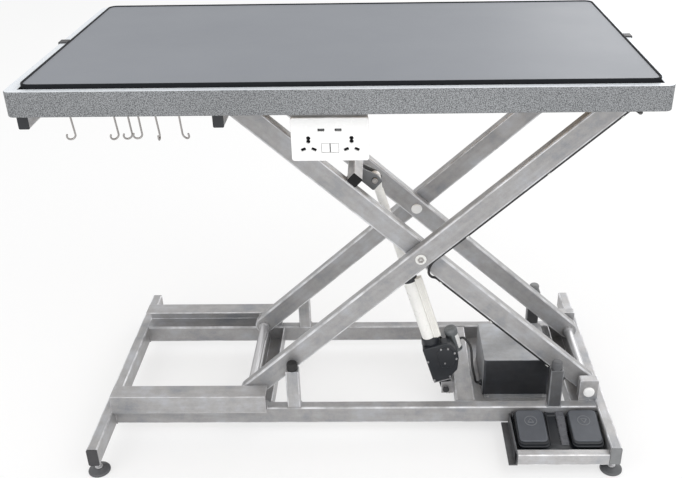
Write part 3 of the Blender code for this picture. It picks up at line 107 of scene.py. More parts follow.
# Actuator
ACT_Y = -0.050
FOOT_PIN = Vector((TIE_MID_X - 0.0408, ACT_Y, 0.047))
CLEVIS_PIN_X = ARM_L / 2 - 0.718
CLEVIS_PIN_Z = ARM_H / 2 + 0.0216
CLEVIS_PIN = INNER_POSE @ Vector((CLEVIS_PIN_X, ACT_Y, CLEVIS_PIN_Z))
ACT_LEN = (CLEVIS_PIN - FOOT_PIN).length
ACT_LEAN = atan2(CLEVIS_PIN.x - FOOT_PIN.x, CLEVIS_PIN.z - FOOT_PIN.z)
ACT_POSE = Matrix.Translation(FOOT_PIN) @ Matrix.Rotation(ACT_LEAN, 4, "Y")
MOTOR_AT = Vector((0.0525, 0.0185, 0))
MOTOR_R = 0.0165

# Top
UPPER_TUBE_Z1 = UPPER_Z + 0.0324
UPPER_TUBE_H = 0.046
UPPER_TUBE_Z0 = UPPER_TUBE_Z1 - UPPER_TUBE_H
FRAME_Z0 = UPPER_TUBE_Z1 + 0.0013
FRAME_Z1 = FRAME_Z0 + 0.048
LEFT_LIP = 0.006
TOP_X0 = -0.606
TOP_X1 = 0.594
TOP_Y1 = 0.325
RIM = 0.018
STUB_Z0 = UPPER_TUBE_Z1 - 0.030
STUB_LEFT_X = TOP_X0 + 0.0125
STUB_RIGHT_X = STUB_LEFT_X + 0.3619
STUB_W = 0.020
STUB_Y = 0.300
HOOK_BAR_Y = -0.285
HOOK_BAR_Z = STUB_Z0 + 0.0233
STUB_Z1 = UPPER_TUBE_Z1 - 2 * GAP
STUB_X0 = STUB_RIGHT_X - STUB_W / 2
STUB_X1 = STUB_RIGHT_X + STUB_W / 2
UPPER_TUBE_X0 = STUB_LEFT_X + STUB_W / 2 + GAP
UPPER_TUBE_X1 = TOP_X1 - 0.010
MIDDLE_BEARER_X = -0.027

# Socket
SOCKET_X = -0.027
SOCKET_Y = -0.2933
SOCKET_HALF_W = 0.073
SOCKET_T = 0.008
SOCKET_BOX_IN = 0.002
OUTLET_OUT = 0.0405
PORT_OUT = 0.016
ROCKER_OUT = 0.0085
ROCKER_HALF_W = 0.00775
SOCKET_Z1 = FRAME_Z0 - 0.0168
SOCKET_Z0 = SOCKET_Z1 - 0.086

# Leads, control box and foot switch
CABLE_R = 0.003
BOX_X0 = TIE_MID_X + 0.0475
BOX_X1 = BOX_X0 + 0.162
BOX_Y0 = -0.093
BOX_Y1 = 0.070
BOX_Z0 = 0.0453
BOX_Z1 = 0.1503
GLAND_L = 0.007
MOTOR_ENTRY = (-0.070, 0.0673)
CABLE_ENTRY = (-0.060, 0.0753)
MAINS_ENTRY = (0.040, 0.0753)
PEDAL_HALF_W = 0.0355
PEDAL_TILT = radians(7.8)

# Where an outline's two axes and its depth lie in space
PLACE = {
    "x": lambda a, b, c: (c, a, b),
    "y": lambda a, b, c: (a, c, b),
    "z": lambda a, b, c: (a, b, c),
}


class Finish:
    """A procedural material that reads the object's own coordinates."""

    def __init__(self, name, slot, roughness=0.5, metallic=0.0, **sockets):
        self.material = bpy.data.materials.new(name)
        self.material.use_nodes = True
        self.material["slot"] = slot
        self.nodes = self.material.node_tree.nodes
        self.links = self.material.node_tree.links
        self.shader = self.nodes["Principled BSDF"]
        self.shader.inputs["Roughness"].default_value = roughness
        self.shader.inputs["Metallic"].default_value = metallic
        for socket, value in sockets.items():
            self.shader.inputs[socket.replace("_", " ")].default_value = value
        self.place = self.nodes.new("ShaderNodeTexCoord").outputs["Object"]

    def noise(self, scale, detail=3.0, drawn=None, roughness=0.55, lean=0.0):
        """Soft noise of so many cells to the metre, drawn out along an axis if asked."""
        texture = self.nodes.new("ShaderNodeTexNoise")
        texture.inputs["Scale"].default_value = scale
        texture.inputs["Detail"].default_value = detail
        texture.inputs["Roughness"].default_value = roughness
        self.links.new(self.stretched(drawn, lean), texture.inputs["Vector"])
        return texture.outputs["Fac"]

    def cells(self, scale, feature="SMOOTH_F1"):
        """Cell pattern of so many cells to the metre."""
        texture = self.nodes.new("ShaderNodeTexVoronoi")
        texture.feature = feature
        texture.inputs["Scale"].default_value = scale
        self.links.new(self.place, texture.inputs["Vector"])
        return texture.outputs["Distance"]

    def stretched(self, drawn, lean):
        """The object's coordinates, drawn out along each axis after a lean about Y."""
        if not drawn:
            return self.place
        mapping = self.nodes.new("ShaderNodeMapping")
        mapping.vector_type = "TEXTURE"
        mapping.inputs["Scale"].default_value = drawn
        mapping.inputs["Rotation"].default_value = (0.0, lean, 0.0)
        self.links.new(self.place, mapping.inputs["Vector"])
        return mapping.outputs["Vector"]

    def ramp(self, source, *stops):
        """Colours or greys read off a factor."""
        node = self.nodes.new("ShaderNodeValToRGB")
        elements = node.color_ramp.elements
        while len(elements) < len(stops):
            elements.new(0.5)
        for element, (position, colour) in zip(elements, stops):
            element.position = position
            shade = (colour,) * 3 if isinstance(colour, float) else colour
            element.color = (*shade, 1.0)
        self.links.new(source, node.inputs["Fac"])
        return node.outputs["Color"]

    def mixed(self, factor, first, second, blend="MIX"):
        """Two colours over each other."""
        node = self.nodes.new("ShaderNodeMix")
        node.data_type = "RGBA"
        node.blend_type = blend
        for socket, value in ((node.inputs[0], factor), (node.inputs[6], first),
                              (node.inputs[7], second)):
            if isinstance(value, bpy.types.NodeSocket):
                self.links.new(value, socket)
            else:
                socket.default_value = value
        return node.outputs[2]

    def edges(self):
        """How far a spot lies on a rounded edge, broken up by noise; rounded edges are painted lighter
        there, as rubbed wear and as a painted highlight.
        """
        node = self.nodes.new("ShaderNodeAttribute")
        node.attribute_name = "edge"
        wear_and_highlight = self.ramp(self.noise(30, 4), (0.36, 0.18), (0.66, 0.85))
        product = self.nodes.new("ShaderNodeMath")
        product.operation = "MULTIPLY"
        self.links.new(node.outputs["Fac"], product.inputs[0])
        self.links.new(wear_and_highlight, product.inputs[1])
        return product.outputs[0]

    def colour(self, source):
        """Links the base colour."""
        self.links.new(source, self.shader.inputs["Base Color"])
        return self

    def gloss(self, source):
        """Links the roughness."""
        self.links.new(source, self.shader.inputs["Roughness"])
        return self

    def relief(self, source, depth, strength=0.5):
        """Fine surface relief, its depth in metres."""
        node = self.nodes.new("ShaderNodeBump")
        node.inputs["Strength"].default_value = strength
        node.inputs["Distance"].default_value = depth
        self.links.new(source, node.inputs["Height"])
        self.links.new(node.outputs["Normal"], self.shader.inputs["Normal"])
        return self


def scaled(colour, factor):
    """A colour made lighter or darker."""
    return tuple(min(1.0, channel * factor) for channel in colour)


def silver_paint(name, colour, slot="silver", wear_and_highlight=2.3, drawn=(9.0, 1.0, 1.0), lean=0.0):
    """Satin silver paint: drawn streaks, slow clouding, a faint fleck, and rounded edges painted lighter as
    rubbed wear and as a painted highlight.
    """
    made = Finish(name, slot, 0.4, 0.35)
    cool = (colour[0] * 0.77, colour[1] * 0.79, colour[2] * 0.82)
    warm = (colour[0] * 1.03, colour[1] * 1.0, colour[2] * 0.97)
    pale = (colour[0] * 1.20, colour[1] * 1.21, colour[2] * 1.24)
    cloud = made.ramp(made.noise(13, 6, None, 0.70), (0.32, cool), (0.50, warm), (0.68, pale))
    streak = made.ramp(made.noise(90, 5, drawn, 0.6, lean), (0.32, 0.38), (0.68, 0.62))
    fleck = made.ramp(made.noise(1300, 2), (0.40, 0.42), (0.62, 0.58))
    body = made.mixed(0.4, made.mixed(0.32, cloud, streak, "OVERLAY"), fleck, "OVERLAY")
    # rounded edges lighter: rubbed wear and a painted highlight
    made.colour(made.mixed(made.edges(), body, (*scaled(colour, wear_and_highlight), 1.0)))
    made.gloss(made.ramp(made.noise(28, 4), (0.3, 0.30), (0.75, 0.48)))
    return made.relief(made.noise(700, 2), 0.0002, 0.2).material


def hammer_paint(name, shade, contrast):
    """Speckled hammer-tone coat with dark pits between pale beads."""
    made = Finish(name, "hammer", 0.42, 0.2)
    beads = made.cells(620)
    pale, dark = shade * (1 + contrast), shade * (1 - contrast)
    pits = made.ramp(beads, (0.15, (pale * 0.97, pale, pale * 1.03)),
                     (0.62, (dark * 0.95, dark, dark * 1.06)))
    fleck = made.ramp(made.noise(1100, 3), (0.36, 0.40), (0.66, 0.60))
    cloud = made.ramp(made.noise(4, 3), (0.3, 0.43), (0.7, 0.57))
    speckled = made.mixed(0.6, pits, fleck, "OVERLAY")
    made.colour(made.mixed(0.6, speckled, cloud, "OVERLAY"))
    made.gloss(made.ramp(made.noise(300, 3), (0.3, 0.34), (0.7, 0.55)))
    return made.relief(beads, 0.0005, 0.4).material


def mat_rubber():
    """Grey rubber of the mat, with a fine pebble and faint rubbed patches."""
    made = Finish("mat_rubber", "mat", 0.5, 0.0)
    cloud = made.ramp(made.noise(3, 4), (0.3, (0.186, 0.199, 0.224)), (0.72, (0.204, 0.217, 0.243)))
    pebble = made.cells(900)
    grain = made.ramp(pebble, (0.15, 0.53), (0.6, 0.46))
    made.colour(made.mixed(0.35, cloud, grain, "OVERLAY"))
    made.gloss(made.ramp(made.noise(9, 4), (0.35, 0.47), (0.7, 0.50)))
    return made.relief(pebble, 0.0002, 0.15).material


def moulded(name, colour, slot, roughness=0.45, grain=1300, depth=0.00012, cloudy=0.10, shine=0.5):
    """Moulded plastic or rubber with a fine spark-eroded grain, its rounded edges painted a little lighter
    as rubbed wear and as a painted highlight.
    """
    made = Finish(name, slot, roughness, 0.0, Specular_IOR_Level=shine)
    cloud = made.ramp(made.noise(35, 4), (0.3, scaled(colour, 1 - cloudy)),
                      (0.72, scaled(colour, 1 + cloudy)))
    made.colour(made.mixed(made.edges(), cloud, (*scaled(colour, 1.25), 1.0)))
    made.gloss(made.ramp(made.noise(90, 3), (0.3, max(0.05, roughness - 0.05)), (0.75, roughness + 0.06)))
    return made.relief(made.noise(grain, 2), depth, 0.2).material


def bright_metal(name, colour, slot, roughness=0.30, drawn=(1.0, 8.0, 1.0)):
    """Zinc or bare steel with a drawn grain and faint dull patches."""
    made = Finish(name, slot, roughness, 0.75)
    made.colour(made.ramp(made.noise(50, 3, drawn), (0.3, scaled(colour, 0.92)),
                          (0.7, scaled(colour, 1.06))))
    made.gloss(made.ramp(made.noise(40, 3), (0.3, roughness - 0.03), (0.75, roughness + 0.06)))
    return made.relief(made.noise(900, 2, drawn), 0.00003, 0.2).material


def plywood():
    """Plain plywood, its grain along the table."""
    made = Finish("plywood", "ply", 0.65)
    grain = made.noise(30, 6, (8.3, 1.0, 1.0), 0.65)
    made.colour(made.ramp(grain, (0.3, (0.36, 0.235, 0.12)), (0.55, (0.56, 0.40, 0.235)),
                          (0.8, (0.66, 0.50, 0.32))))
    return made.relief(grain, 0.0004, 0.4).material


def circuit_green():
    """Solder-resist green with lighter traces."""
    made = Finish("circuit_green", "board", 0.4)
    made.colour(made.ramp(made.cells(160, "F1"), (0.1, (0.05, 0.22, 0.11)), (0.6, (0.02, 0.11, 0.055))))
    return made.relief(made.noise(400, 2), 0.0002, 0.3).material


SILVER = (0.330, 0.334, 0.344)
PAINT = silver_paint("silver_paint", SILVER)
# A 10% lighter copy of the silver for the cross pieces: painted light, for the light from above on their
# tops.
PAINT_CROSS_LIT = silver_paint("silver_paint_across_lit", scaled(SILVER, 1.10), drawn=(1.0, 9.0, 1.0))
# A 15% lighter copy of the silver for the left posts: painted light.
PAINT_POST_LIT = silver_paint("silver_paint_upright_lit", scaled(SILVER, 1.15), drawn=(1.0, 1.0, 9.0))
PAINT_OUTER = silver_paint("silver_paint_outer_arms", SILVER, lean=-LIFT)
PAINT_INNER = silver_paint("silver_paint_inner_arms", SILVER, lean=LIFT)
# A 12% lighter copy of the silver for the lower rails: painted light, for the light from above on their
# tops.
RAIL_PAINT_LIT = silver_paint("rail_paint_lit", scaled(SILVER, 1.12))
# A 32% lighter copy of the silver for the tray's front rail and floor: painted light.
TRAY_PAINT_LIT = silver_paint("tray_paint", scaled(SILVER, 1.32))
# A dark copy of the silver for the right-hand posts: painted shade.
POST_SHADE = silver_paint("post_painted_shade", (0.105, 0.108, 0.114), wear_and_highlight=3.2, drawn=(1.0, 1.0, 9.0))
HAMMER = hammer_paint("hammer_paint", 0.226, 0.62)
# A near-white copy of the hammer paint for the surround's top faces: painted highlight.
RIM_HIGHLIGHT = hammer_paint("rim_painted_highlight", 0.82, 0.10)
MAT = mat_rubber()
MAT_EDGE = moulded("mat_edge_rubber", (0.007, 0.008, 0.010), "mat", 0.6, 700, 0.0002, 0.1, 0.15)
BLACK = moulded("black_plastic", (0.014, 0.016, 0.020), "black_plastic", 0.36)
CAP = moulded("cap_plastic", (0.040, 0.040, 0.043), "black_plastic", 0.5)
DARK_CAP = moulded("dark_cap_plastic", (0.085, 0.087, 0.092), "grey_plastic", 0.5)
MOTOR_BELL = moulded("motor_bell_grey", (0.150, 0.160, 0.166), "grey_plastic", 0.45)
GREY_CAP = moulded("grey_cap_plastic", (0.19, 0.195, 0.20), "grey_plastic", 0.5)
PEDAL = moulded("pedal_grey", (0.082, 0.089, 0.103), "grey_plastic", 0.42, 1000)
# A grey copy of the black plastic for the raised spine between the pedals: painted sheen.
SPINE_SHEEN = moulded("spine_painted_sheen", (0.105, 0.108, 0.120), "black_plastic", 0.28)
PEDAL_MARK = moulded("pedal_mark", (0.16, 0.168, 0.182), "grey_plastic", 0.42, 1000)
BOX_GREY = moulded("box_grey", (0.30, 0.30, 0.30), "grey_plastic", 0.5)
SHEET = silver_paint("dark_sheet_paint", (0.036, 0.038, 0.043), "dark_sheet", 2.2)
# A lighter copy of the dark sheet paint for the box's top, left side and flange: painted sheen.
SHEET_SHEEN = silver_paint("dark_sheet_sheen", (0.355, 0.37, 0.39), "dark_sheet", 1.2)
# A dark copy of the silver for the tray's side angle: painted shade.
TRAY_SIDE_SHADE = silver_paint("shaded_tray_paint", (0.085, 0.088, 0.094), "silver", 1.6)
CREAM = moulded("cream_enamel", (0.88, 0.875, 0.85), "cream", 0.30, 700, 0.0001, 0.03)
# A slightly darker copy of the barrel's cream for its rail: painted shade.
CREAM_RAIL_SHADE = moulded("cream_rail_painted_shade", (0.78, 0.77, 0.73), "cream", 0.36, 700, 0.0001, 0.04)
WHITE = moulded("white_plastic", (0.86, 0.86, 0.855), "white", 0.24, 1200, 0.00005, 0.02)
NYLON = moulded("natural_nylon", (0.70, 0.70, 0.68), "nylon", 0.5, 1300, 0.00015, 0.05)
RUBBER = moulded("black_rubber", (0.018, 0.018, 0.019), "rubber_black", 0.7, 900, 0.0003)
SHEATH = moulded("lead_sheath", (0.014, 0.014, 0.015), "rubber_black", 0.42, 1500, 0.0001)
LABEL = moulded("blank_label", (0.80, 0.80, 0.79), "white", 0.55, 1500, 0.00005, 0.03)
# Near-black for the bars behind the socket's openings: painted shadow.
PAINTED_SHADOW = moulded("shadow_black", (0.008, 0.008, 0.009), "black_plastic", 0.8, shine=0.1)
PLUG = moulded("plug_black", (0.009, 0.009, 0.010), "black_plastic", 0.5, shine=0.2)
ZINC = bright_metal("bright_zinc", (0.56, 0.56, 0.57), "zinc", 0.36)
HOOK_STEEL = bright_metal("hook_steel", (0.36, 0.345, 0.335), "zinc", 0.22)
CLEVIS_STEEL = bright_metal("clevis_steel", (0.17, 0.175, 0.18), "silver", 0.45)
MOTOR = bright_metal("motor_can", (0.20, 0.215, 0.22), "motor", 0.38, (1.0, 1.0, 10.0))
PLY = plywood()
CIRCUIT = circuit_green()


def rounded(a0, a1, b0, b1, radius, steps=5):
    """A rectangle with round corners."""
    corners = ((a1 - radius, b1 - radius, 0), (a0 + radius, b1 - radius, 1),
               (a0 + radius, b0 + radius, 2), (a1 - radius, b0 + radius, 3))
    points = []
    for a, b, quarter in corners:
        for step in range(steps + 1):
            turn = (quarter + step / steps) * pi / 2
            points.append((a + radius * cos(turn), b + radius * sin(turn)))
    return [point for i, point in enumerate(points)
            if hypot(point[0] - points[i - 1][0], point[1] - points[i - 1][1]) > 1e-9]


def circle(a, b, radius, sides=32):
    """Points round a circle."""
    return [(a + radius * cos(2 * pi * i / sides), b + radius * sin(2 * pi * i / sides))
            for i in range(sides)]


def filleted(points, radius, steps=4):
    """A polygon whose corners, inner and outer, are arcs."""
    made = []
    for i, corner in enumerate(points):
        middle = Vector(corner)
        back = Vector(points[i - 1]) - middle
        ahead = Vector(points[(i + 1) % len(points)]) - middle
        half = acos(max(-1.0, min(1.0, back.normalized().dot(ahead.normalized())))) / 2
        reach = min(radius / tan(half), 0.48 * back.length, 0.48 * ahead.length)
        centre = middle + (back.normalized() + ahead.normalized()).normalized() * reach / cos(half)
        first = middle + back.normalized() * reach - centre
        last = middle + ahead.normalized() * reach - centre
        sweep = atan2(first.x * last.y - first.y * last.x, first.dot(last))
        for step in range(steps + 1):
            turn = sweep * step / steps
            made.append((centre.x + first.x * cos(turn) - first.y * sin(turn),
                         centre.y + first.x * sin(turn) + first.y * cos(turn)))
    return made


def inset(points, distance):
    """A counter-clockwise outline moved inwards."""
    made = []
    for i, (b, c) in enumerate(points):
        a0, a1 = points[i - 1]
        d0, d1 = points[(i + 1) % len(points)]
        run, onward = hypot(b - a0, c - a1), hypot(d0 - b, d1 - c)
        n0, n1 = -(c - a1) / run, (b - a0) / run
        m0, m1 = -(d1 - c) / onward, (d0 - b) / onward
        share = distance / (1 + n0 * m0 + n1 * m1)
        made.append((b + (n0 + m0) * share, c + (n1 + m1) * share))
    return made


def signed_area(points):
    """Twice the area of an outline, above zero where it runs counter-clockwise."""
    return sum(points[i - 1][0] * points[i][1] - points[i][0] * points[i - 1][1]
               for i in range(len(points)))


def walls(bm, lower, upper):
    """Faces between two loops."""
    for i in range(len(lower)):
        bm.faces.new((lower[i - 1], lower[i], upper[i], upper[i - 1]))


def stacked(axis, outline, levels, holes=()):
    """A solid through (inset, height) levels of one outline, with straight holes through it.

    Rounded edges are marked, so that paint can be made lighter there, as rubbed wear and as a painted
    highlight.
    """
    outline = outline if signed_area(outline) > 0 else outline[::-1]
    runs = [hypot(a - outline[i - 1][0], b - outline[i - 1][1]) for i, (a, b) in enumerate(outline)]
    arcs = [run < 0.003 and run < 0.3 * max(runs) for run in runs]
    bm = bmesh.new()
    wear_and_highlight = bm.loops.layers.float.new("edge")
    loops = [[bm.verts.new(PLACE[axis](a, b, height)) for a, b in inset(outline, gap)]
             for gap, height in levels]
    for (gap, _), (next_gap, _), lower, upper in zip(levels, levels[1:], loops, loops[1:]):
        for i in range(len(lower)):
            face = bm.faces.new((lower[i - 1], lower[i], upper[i], upper[i - 1]))
            for corner in face.loops:
                corner[wear_and_highlight] = 1.0 if gap != next_gap or arcs[i] else 0.0
    ends = (levels[0][1], levels[-1][1])
    rims = [[[bm.verts.new(PLACE[axis](a, b, level)) for a, b in hole] for hole in holes]
            for level in ends]
    for lower, upper in zip(*rims):
        walls(bm, lower, upper)
    for loop, inner in zip((loops[0], loops[-1]), rims):
        if inner:
            edges = [bm.edges.get((ring[i - 1], ring[i])) for ring in (loop, *inner)
                     for i in range(len(ring))]
            bmesh.ops.triangle_fill(bm, use_beauty=True, edges=edges)
        else:
            bm.faces.new(loop)
    bmesh.ops.recalc_face_normals(bm, faces=bm.faces[:])
    return bm


def prism(axis, start, end, outline, edge=0.0008, holes=(), steps=2):
    """A straight solid of any outline, its end edges rounded."""
    turns = [pi / 2 * i / steps for i in range(steps + 1)]
    levels = [(edge * (1 - sin(t)), start + edge * (1 - cos(t))) for t in turns]
    levels += [(edge * (1 - sin(t)), end - edge * (1 - cos(t))) for t in reversed(turns)]
    return stacked(axis, outline, levels, holes)


def bar(axis, start, end, a0, a1, b0, b1, corner=0.003, edge=0.0008):
    """A rectangular bar or closed tube with rounded corners."""
    return prism(axis, start, end, rounded(a0, a1, b0, b1, corner), edge)


def turned(profile, sides=40, closed=False):
    """A solid turned about Z from (radius, height) points; a closed profile makes a ring."""
    bm = bmesh.new()
    rows = []
    turns = [2 * pi * i / sides for i in range(sides)]
    for radius, height in profile:
        count = sides if radius > 1e-6 else 1
        rows.append([bm.verts.new((radius * cos(turn), radius * sin(turn), height))
                     for turn in turns[:count]])
    pairs = list(zip(rows, rows[1:])) + ([(rows[-1], rows[0])] if closed else [])
    for low, high in pairs:
        for i in range(sides):
            corners = (low[(i - 1) % len(low)], low[i % len(low)], high[i % len(high)],
                       high[(i - 1) % len(high)])
            corners = list(dict.fromkeys(corners))
            if len(corners) > 2:
                bm.faces.new(corners)
    bmesh.ops.recalc_face_normals(bm, faces=bm.faces[:])
    return bm


def softened(profile, radius=0.0006, steps=2):
    """A turning profile with its corners off the axis rounded."""
    made = [profile[0]]
    for before, (r, h), after in zip(profile, profile[1:], profile[2:]):
        middle = Vector((r, h))
        back, ahead = Vector(before) - middle, Vector(after) - middle
        cut = min(radius, 0.45 * back.length, 0.45 * ahead.length)
        first, last = middle + back.normalized() * cut, middle + ahead.normalized() * cut
        for step in range(steps + 1):
            t = step / steps
            made.append(tuple(first * (1 - t) ** 2 + middle * 2 * t * (1 - t) + last * t ** 2))
    return made + [profile[-1]]


def wire(points, radius, sides=14):
    """A round wire or cord along points, with domed ends."""
    route = [Vector(point) for point in points]
    tangents = [(after - before).normalized()
                for before, after in zip([route[0]] + route[:-1], route[1:] + [route[-1]])]
    side = tangents[0].orthogonal().normalized()
    bm = bmesh.new()
    rows = []
    domes = [radians(60), radians(30)]
    sections = [(route[0] - tangents[0] * radius * sin(t), 0, radius * cos(t)) for t in domes]
    sections += [(point, i, radius) for i, point in enumerate(route)]
    last = len(route) - 1
    sections += [(route[-1] + tangents[-1] * radius * sin(t), last, radius * cos(t))
                 for t in reversed(domes)]
    turns = [2 * pi * k / sides for k in range(sides)]
    turned_to = 0
    for point, i, size in sections:
        while turned_to < i:
            side = tangents[turned_to].rotation_difference(tangents[turned_to + 1]) @ side
            turned_to += 1
        across = tangents[i].cross(side)
        rows.append([bm.verts.new(point + (side * cos(turn) + across * sin(turn)) * size) for turn in turns])
    for low, high in zip(rows, rows[1:]):
        walls(bm, low, high)
    bm.faces.new(rows[0])
    bm.faces.new(rows[-1])
    bmesh.ops.recalc_face_normals(bm, faces=bm.faces[:])
    return bm


def smooth_route(points, spacing):
    """Points along a smooth curve through the route's own points, however far apart those are."""
    route = [Vector(point) for point in points]
    ends = [route[0] * 2 - route[1], *route, route[-1] * 2 - route[-2]]
    smooth = []
    for before, start, end, after in zip(ends, ends[1:], ends[2:], ends[3:]):
        d0, d1, d2 = (start - before).length, (end - start).length, (after - end).length
        leave = (end - start) + ((start - before) / d0 - (end - before) / (d0 + d1)) * d1
        arrive = (end - start) + ((after - end) / d2 - (after - start) / (d1 + d2)) * d1
        steps = max(1, round(d1 / spacing))
        for step in range(steps):
            t = step / steps
            smooth.append(start + leave * t + (3 * (end - start) - 2 * leave - arrive) * t ** 2
                          + (leave + arrive - 2 * (end - start)) * t ** 3)
    return smooth + [route[-1]]


def swept(profile, outline):
    """A closed frame: each (inset, height) of the profile is one loop of the outline."""
    bm = bmesh.new()
    loops = [[bm.verts.new((a, b, height)) for a, b in outline(gap)] for gap, height in profile]
    for number, loop in enumerate(loops):
        walls(bm, loops[number - 1], loop)
    bmesh.ops.recalc_face_normals(bm, faces=bm.faces[:])
    return bm


def moved(bm, matrix):
    """The solid under a matrix."""
    bmesh.ops.transform(bm, matrix=matrix, verts=bm.verts[:])
    return bm


def at(x, y, z):
    """A shift to a place."""
    return Matrix.Translation((x, y, z))


def dressed(item, materials, sharp=32.0):
    """Smooth shading with flat faces kept flat."""
    mesh = item.data
    mesh.materials.clear()
    for material in materials:
        mesh.materials.append(material)
    mesh.shade_smooth()
    mesh.set_sharp_from_angle(angle=radians(sharp))
    even = item.modifiers.new("even_normals", "WEIGHTED_NORMAL")
    even.keep_sharp = True
    even.weight = 90
    return item


def piece(name, material, body, solids, stands_for=(), sharp=32.0):
    """One finished piece from its solids, riding on a body."""
    whole = bmesh.new()
    whole.loops.layers.float.new("edge")
    for solid in solids:
        if not solid.loops.layers.float.get("edge"):
            solid.loops.layers.float.new("edge")
        part = bpy.data.meshes.new(name)
        solid.to_mesh(part)
        solid.free()
        whole.from_mesh(part)
        bpy.data.meshes.remove(part)
    mesh = bpy.data.meshes.new(name)
    whole.to_mesh(mesh)
    whole.free()
    item = bpy.data.objects.new(name, mesh)
    bpy.context.scene.collection.objects.link(item)
    materials = material if isinstance(material, (list, tuple)) else [material]
    dressed(item, materials, sharp)
    if body:
        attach(item, body)
    if stands_for:
        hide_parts(*([stands_for] if isinstance(stands_for, str) else stands_for))
    return item


class Recipe:
    """A tree of geometry nodes with named sizes."""

    def __init__(self, name):
        self.tree = bpy.data.node_groups.new(name, "GeometryNodeTree")
        self.tree.is_modifier = True
        self.names = {}
        for way in ("INPUT", "OUTPUT"):
            self.tree.interface.new_socket("Geometry", in_out=way, socket_type="NodeSocketGeometry")
        self.entry = self.tree.nodes.new("NodeGroupInput")
        self.paint = self.size("Material", None, "NodeSocketMaterial")
        self.seed = self.entry.outputs["Geometry"]

    def size(self, name, value, kind="NodeSocketFloat"):
        """A named input of the tree."""
        socket = self.tree.interface.new_socket(name, in_out="INPUT", socket_type=kind)
        if value is not None:
            socket.default_value = value
        self.names[name] = socket.identifier
        return self.entry.outputs[name]

    def add(self, kind, wires=(), **settings):
        """A node with its settings, its inputs given by name or number."""
        node = self.tree.nodes.new(kind)
        for key, value in settings.items():
            setattr(node, key, value)
        for key, source in dict(wires).items():
            if isinstance(source, bpy.types.NodeSocket):
                self.tree.links.new(source, node.inputs[key])
            else:
                node.inputs[key].default_value = source
        return node

    def math(self, operation, *values):
        """One step of arithmetic."""
        return self.add("ShaderNodeMath", dict(enumerate(values)), operation=operation).outputs[0]

    def end(self, geometry):
        """Closes the tree: real geometry in its material."""
        real = self.add("GeometryNodeRealizeInstances", {0: geometry})
        painted = self.add("GeometryNodeSetMaterial",
                           {"Geometry": real.outputs[0], "Material": self.paint})
        self.add("NodeGroupOutput", {"Geometry": painted.outputs[0]})
        return self

    def grow(self, name, seed, material, body, sharp=32.0, **sizes):
        """A plain mesh piece grown from a seed mesh."""
        holder = bpy.data.objects.new(name + "_seed", seed)
        bpy.context.scene.collection.objects.link(holder)
        modifier = holder.modifiers.new("recipe", "NODES")
        modifier.node_group = self.tree
        modifier[self.names["Material"]] = material
        for key, value in sizes.items():
            modifier[self.names[key.replace("_", " ")]] = value
        bpy.context.view_layer.update()
        grown = holder.evaluated_get(bpy.context.evaluated_depsgraph_get())
        mesh = bpy.data.meshes.new_from_object(grown)
        mesh.name = name
        bpy.data.objects.remove(holder)
        item = bpy.data.objects.new(name, mesh)
        bpy.context.scene.collection.objects.link(item)
        dressed(item, [material], sharp)
        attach(item, body)
        return item


def points_mesh(places, **vectors):
    """Loose points that carry named directions."""
    mesh = bpy.data.meshes.new("points")
    mesh.from_pydata([tuple(place) for place in places], [], [])
    for name, values in vectors.items():
        attribute = mesh.attributes.new(name, "FLOAT_VECTOR", "POINT")
        attribute.data.foreach_set("vector", [number for value in values for number in value])
    return mesh


def lines_mesh(*paths):
    """Polylines as loose edges."""
    places, edges = [], []
    for path in paths:
        first = len(places)
        places += [tuple(point) for point in path]
        edges += [(first + i, first + i + 1) for i in range(len(path) - 1)]
    mesh = bpy.data.meshes.new("lines")
    mesh.from_pydata(places, edges, [])
    return mesh


def facing_turn(recipe, name, axis, rotation=None, pivot="AUTO"):
    """A rotation that turns an axis to a direction stored on the points."""
    stored = recipe.add("GeometryNodeInputNamedAttribute", {"Name": name}, data_type="FLOAT_VECTOR")
    wires = {"Vector": stored.outputs[0]}
    if rotation:
        wires["Rotation"] = rotation
    return recipe.add("FunctionNodeAlignRotationToVector", wires, axis=axis, pivot_axis=pivot).outputs[0]


def screw_recipe():
    """Cross-slot screw heads on points, each turned its own way."""
    recipe = Recipe("cross_slot_screws")
    radius = recipe.size("Head radius", 0.003)
    height = recipe.size("Head height", 0.0018)
    slot = recipe.size("Slot width", 0.0008)
    top = recipe.math("MULTIPLY", radius, 0.72)
    head = recipe.add("GeometryNodeMeshCone", {"Vertices": 20, "Radius Top": top, "Radius Bottom": radius,
                                               "Depth": height})
    length = recipe.math("MULTIPLY", radius, 1.1)
    cutters = []
    for first, second in ((length, slot), (slot, length)):
        size = recipe.add("ShaderNodeCombineXYZ", {0: first, 1: second, 2: height})
        cube = recipe.add("GeometryNodeMeshCube", {"Size": size.outputs[0]})
        lift = recipe.add("ShaderNodeCombineXYZ", {0: 0.0, 1: 0.0, 2: height})
        cutters.append(recipe.add("GeometryNodeTransform", {"Geometry": cube.outputs[0],
                                                            "Translation": lift.outputs[0]}))
    cutting = recipe.add("GeometryNodeMeshBoolean", {"Mesh 1": head.outputs[0]}, operation="DIFFERENCE",
                         solver="EXACT")
    for cutter in cutters:
        recipe.tree.links.new(cutter.outputs[0], cutting.inputs["Mesh 2"])
    turn = facing_turn(recipe, "facing", "Z")
    roll = recipe.add("FunctionNodeRandomValue", {"Seed": 7}, data_type="FLOAT")
    spun = recipe.add("FunctionNodeAxisAngleToRotation", {"Axis": (0, 0, 1), "Angle": roll.outputs[1]})
    both = recipe.add("FunctionNodeRotateRotation", {"Rotation": turn, "Rotate By": spun.outputs[0]},
                      rotation_space="LOCAL")
    placed = recipe.add("GeometryNodeInstanceOnPoints",
                        {"Points": recipe.seed, "Instance": cutting.outputs[0],
                         "Rotation": both.outputs[0]})
    return recipe.end(placed.outputs[0])


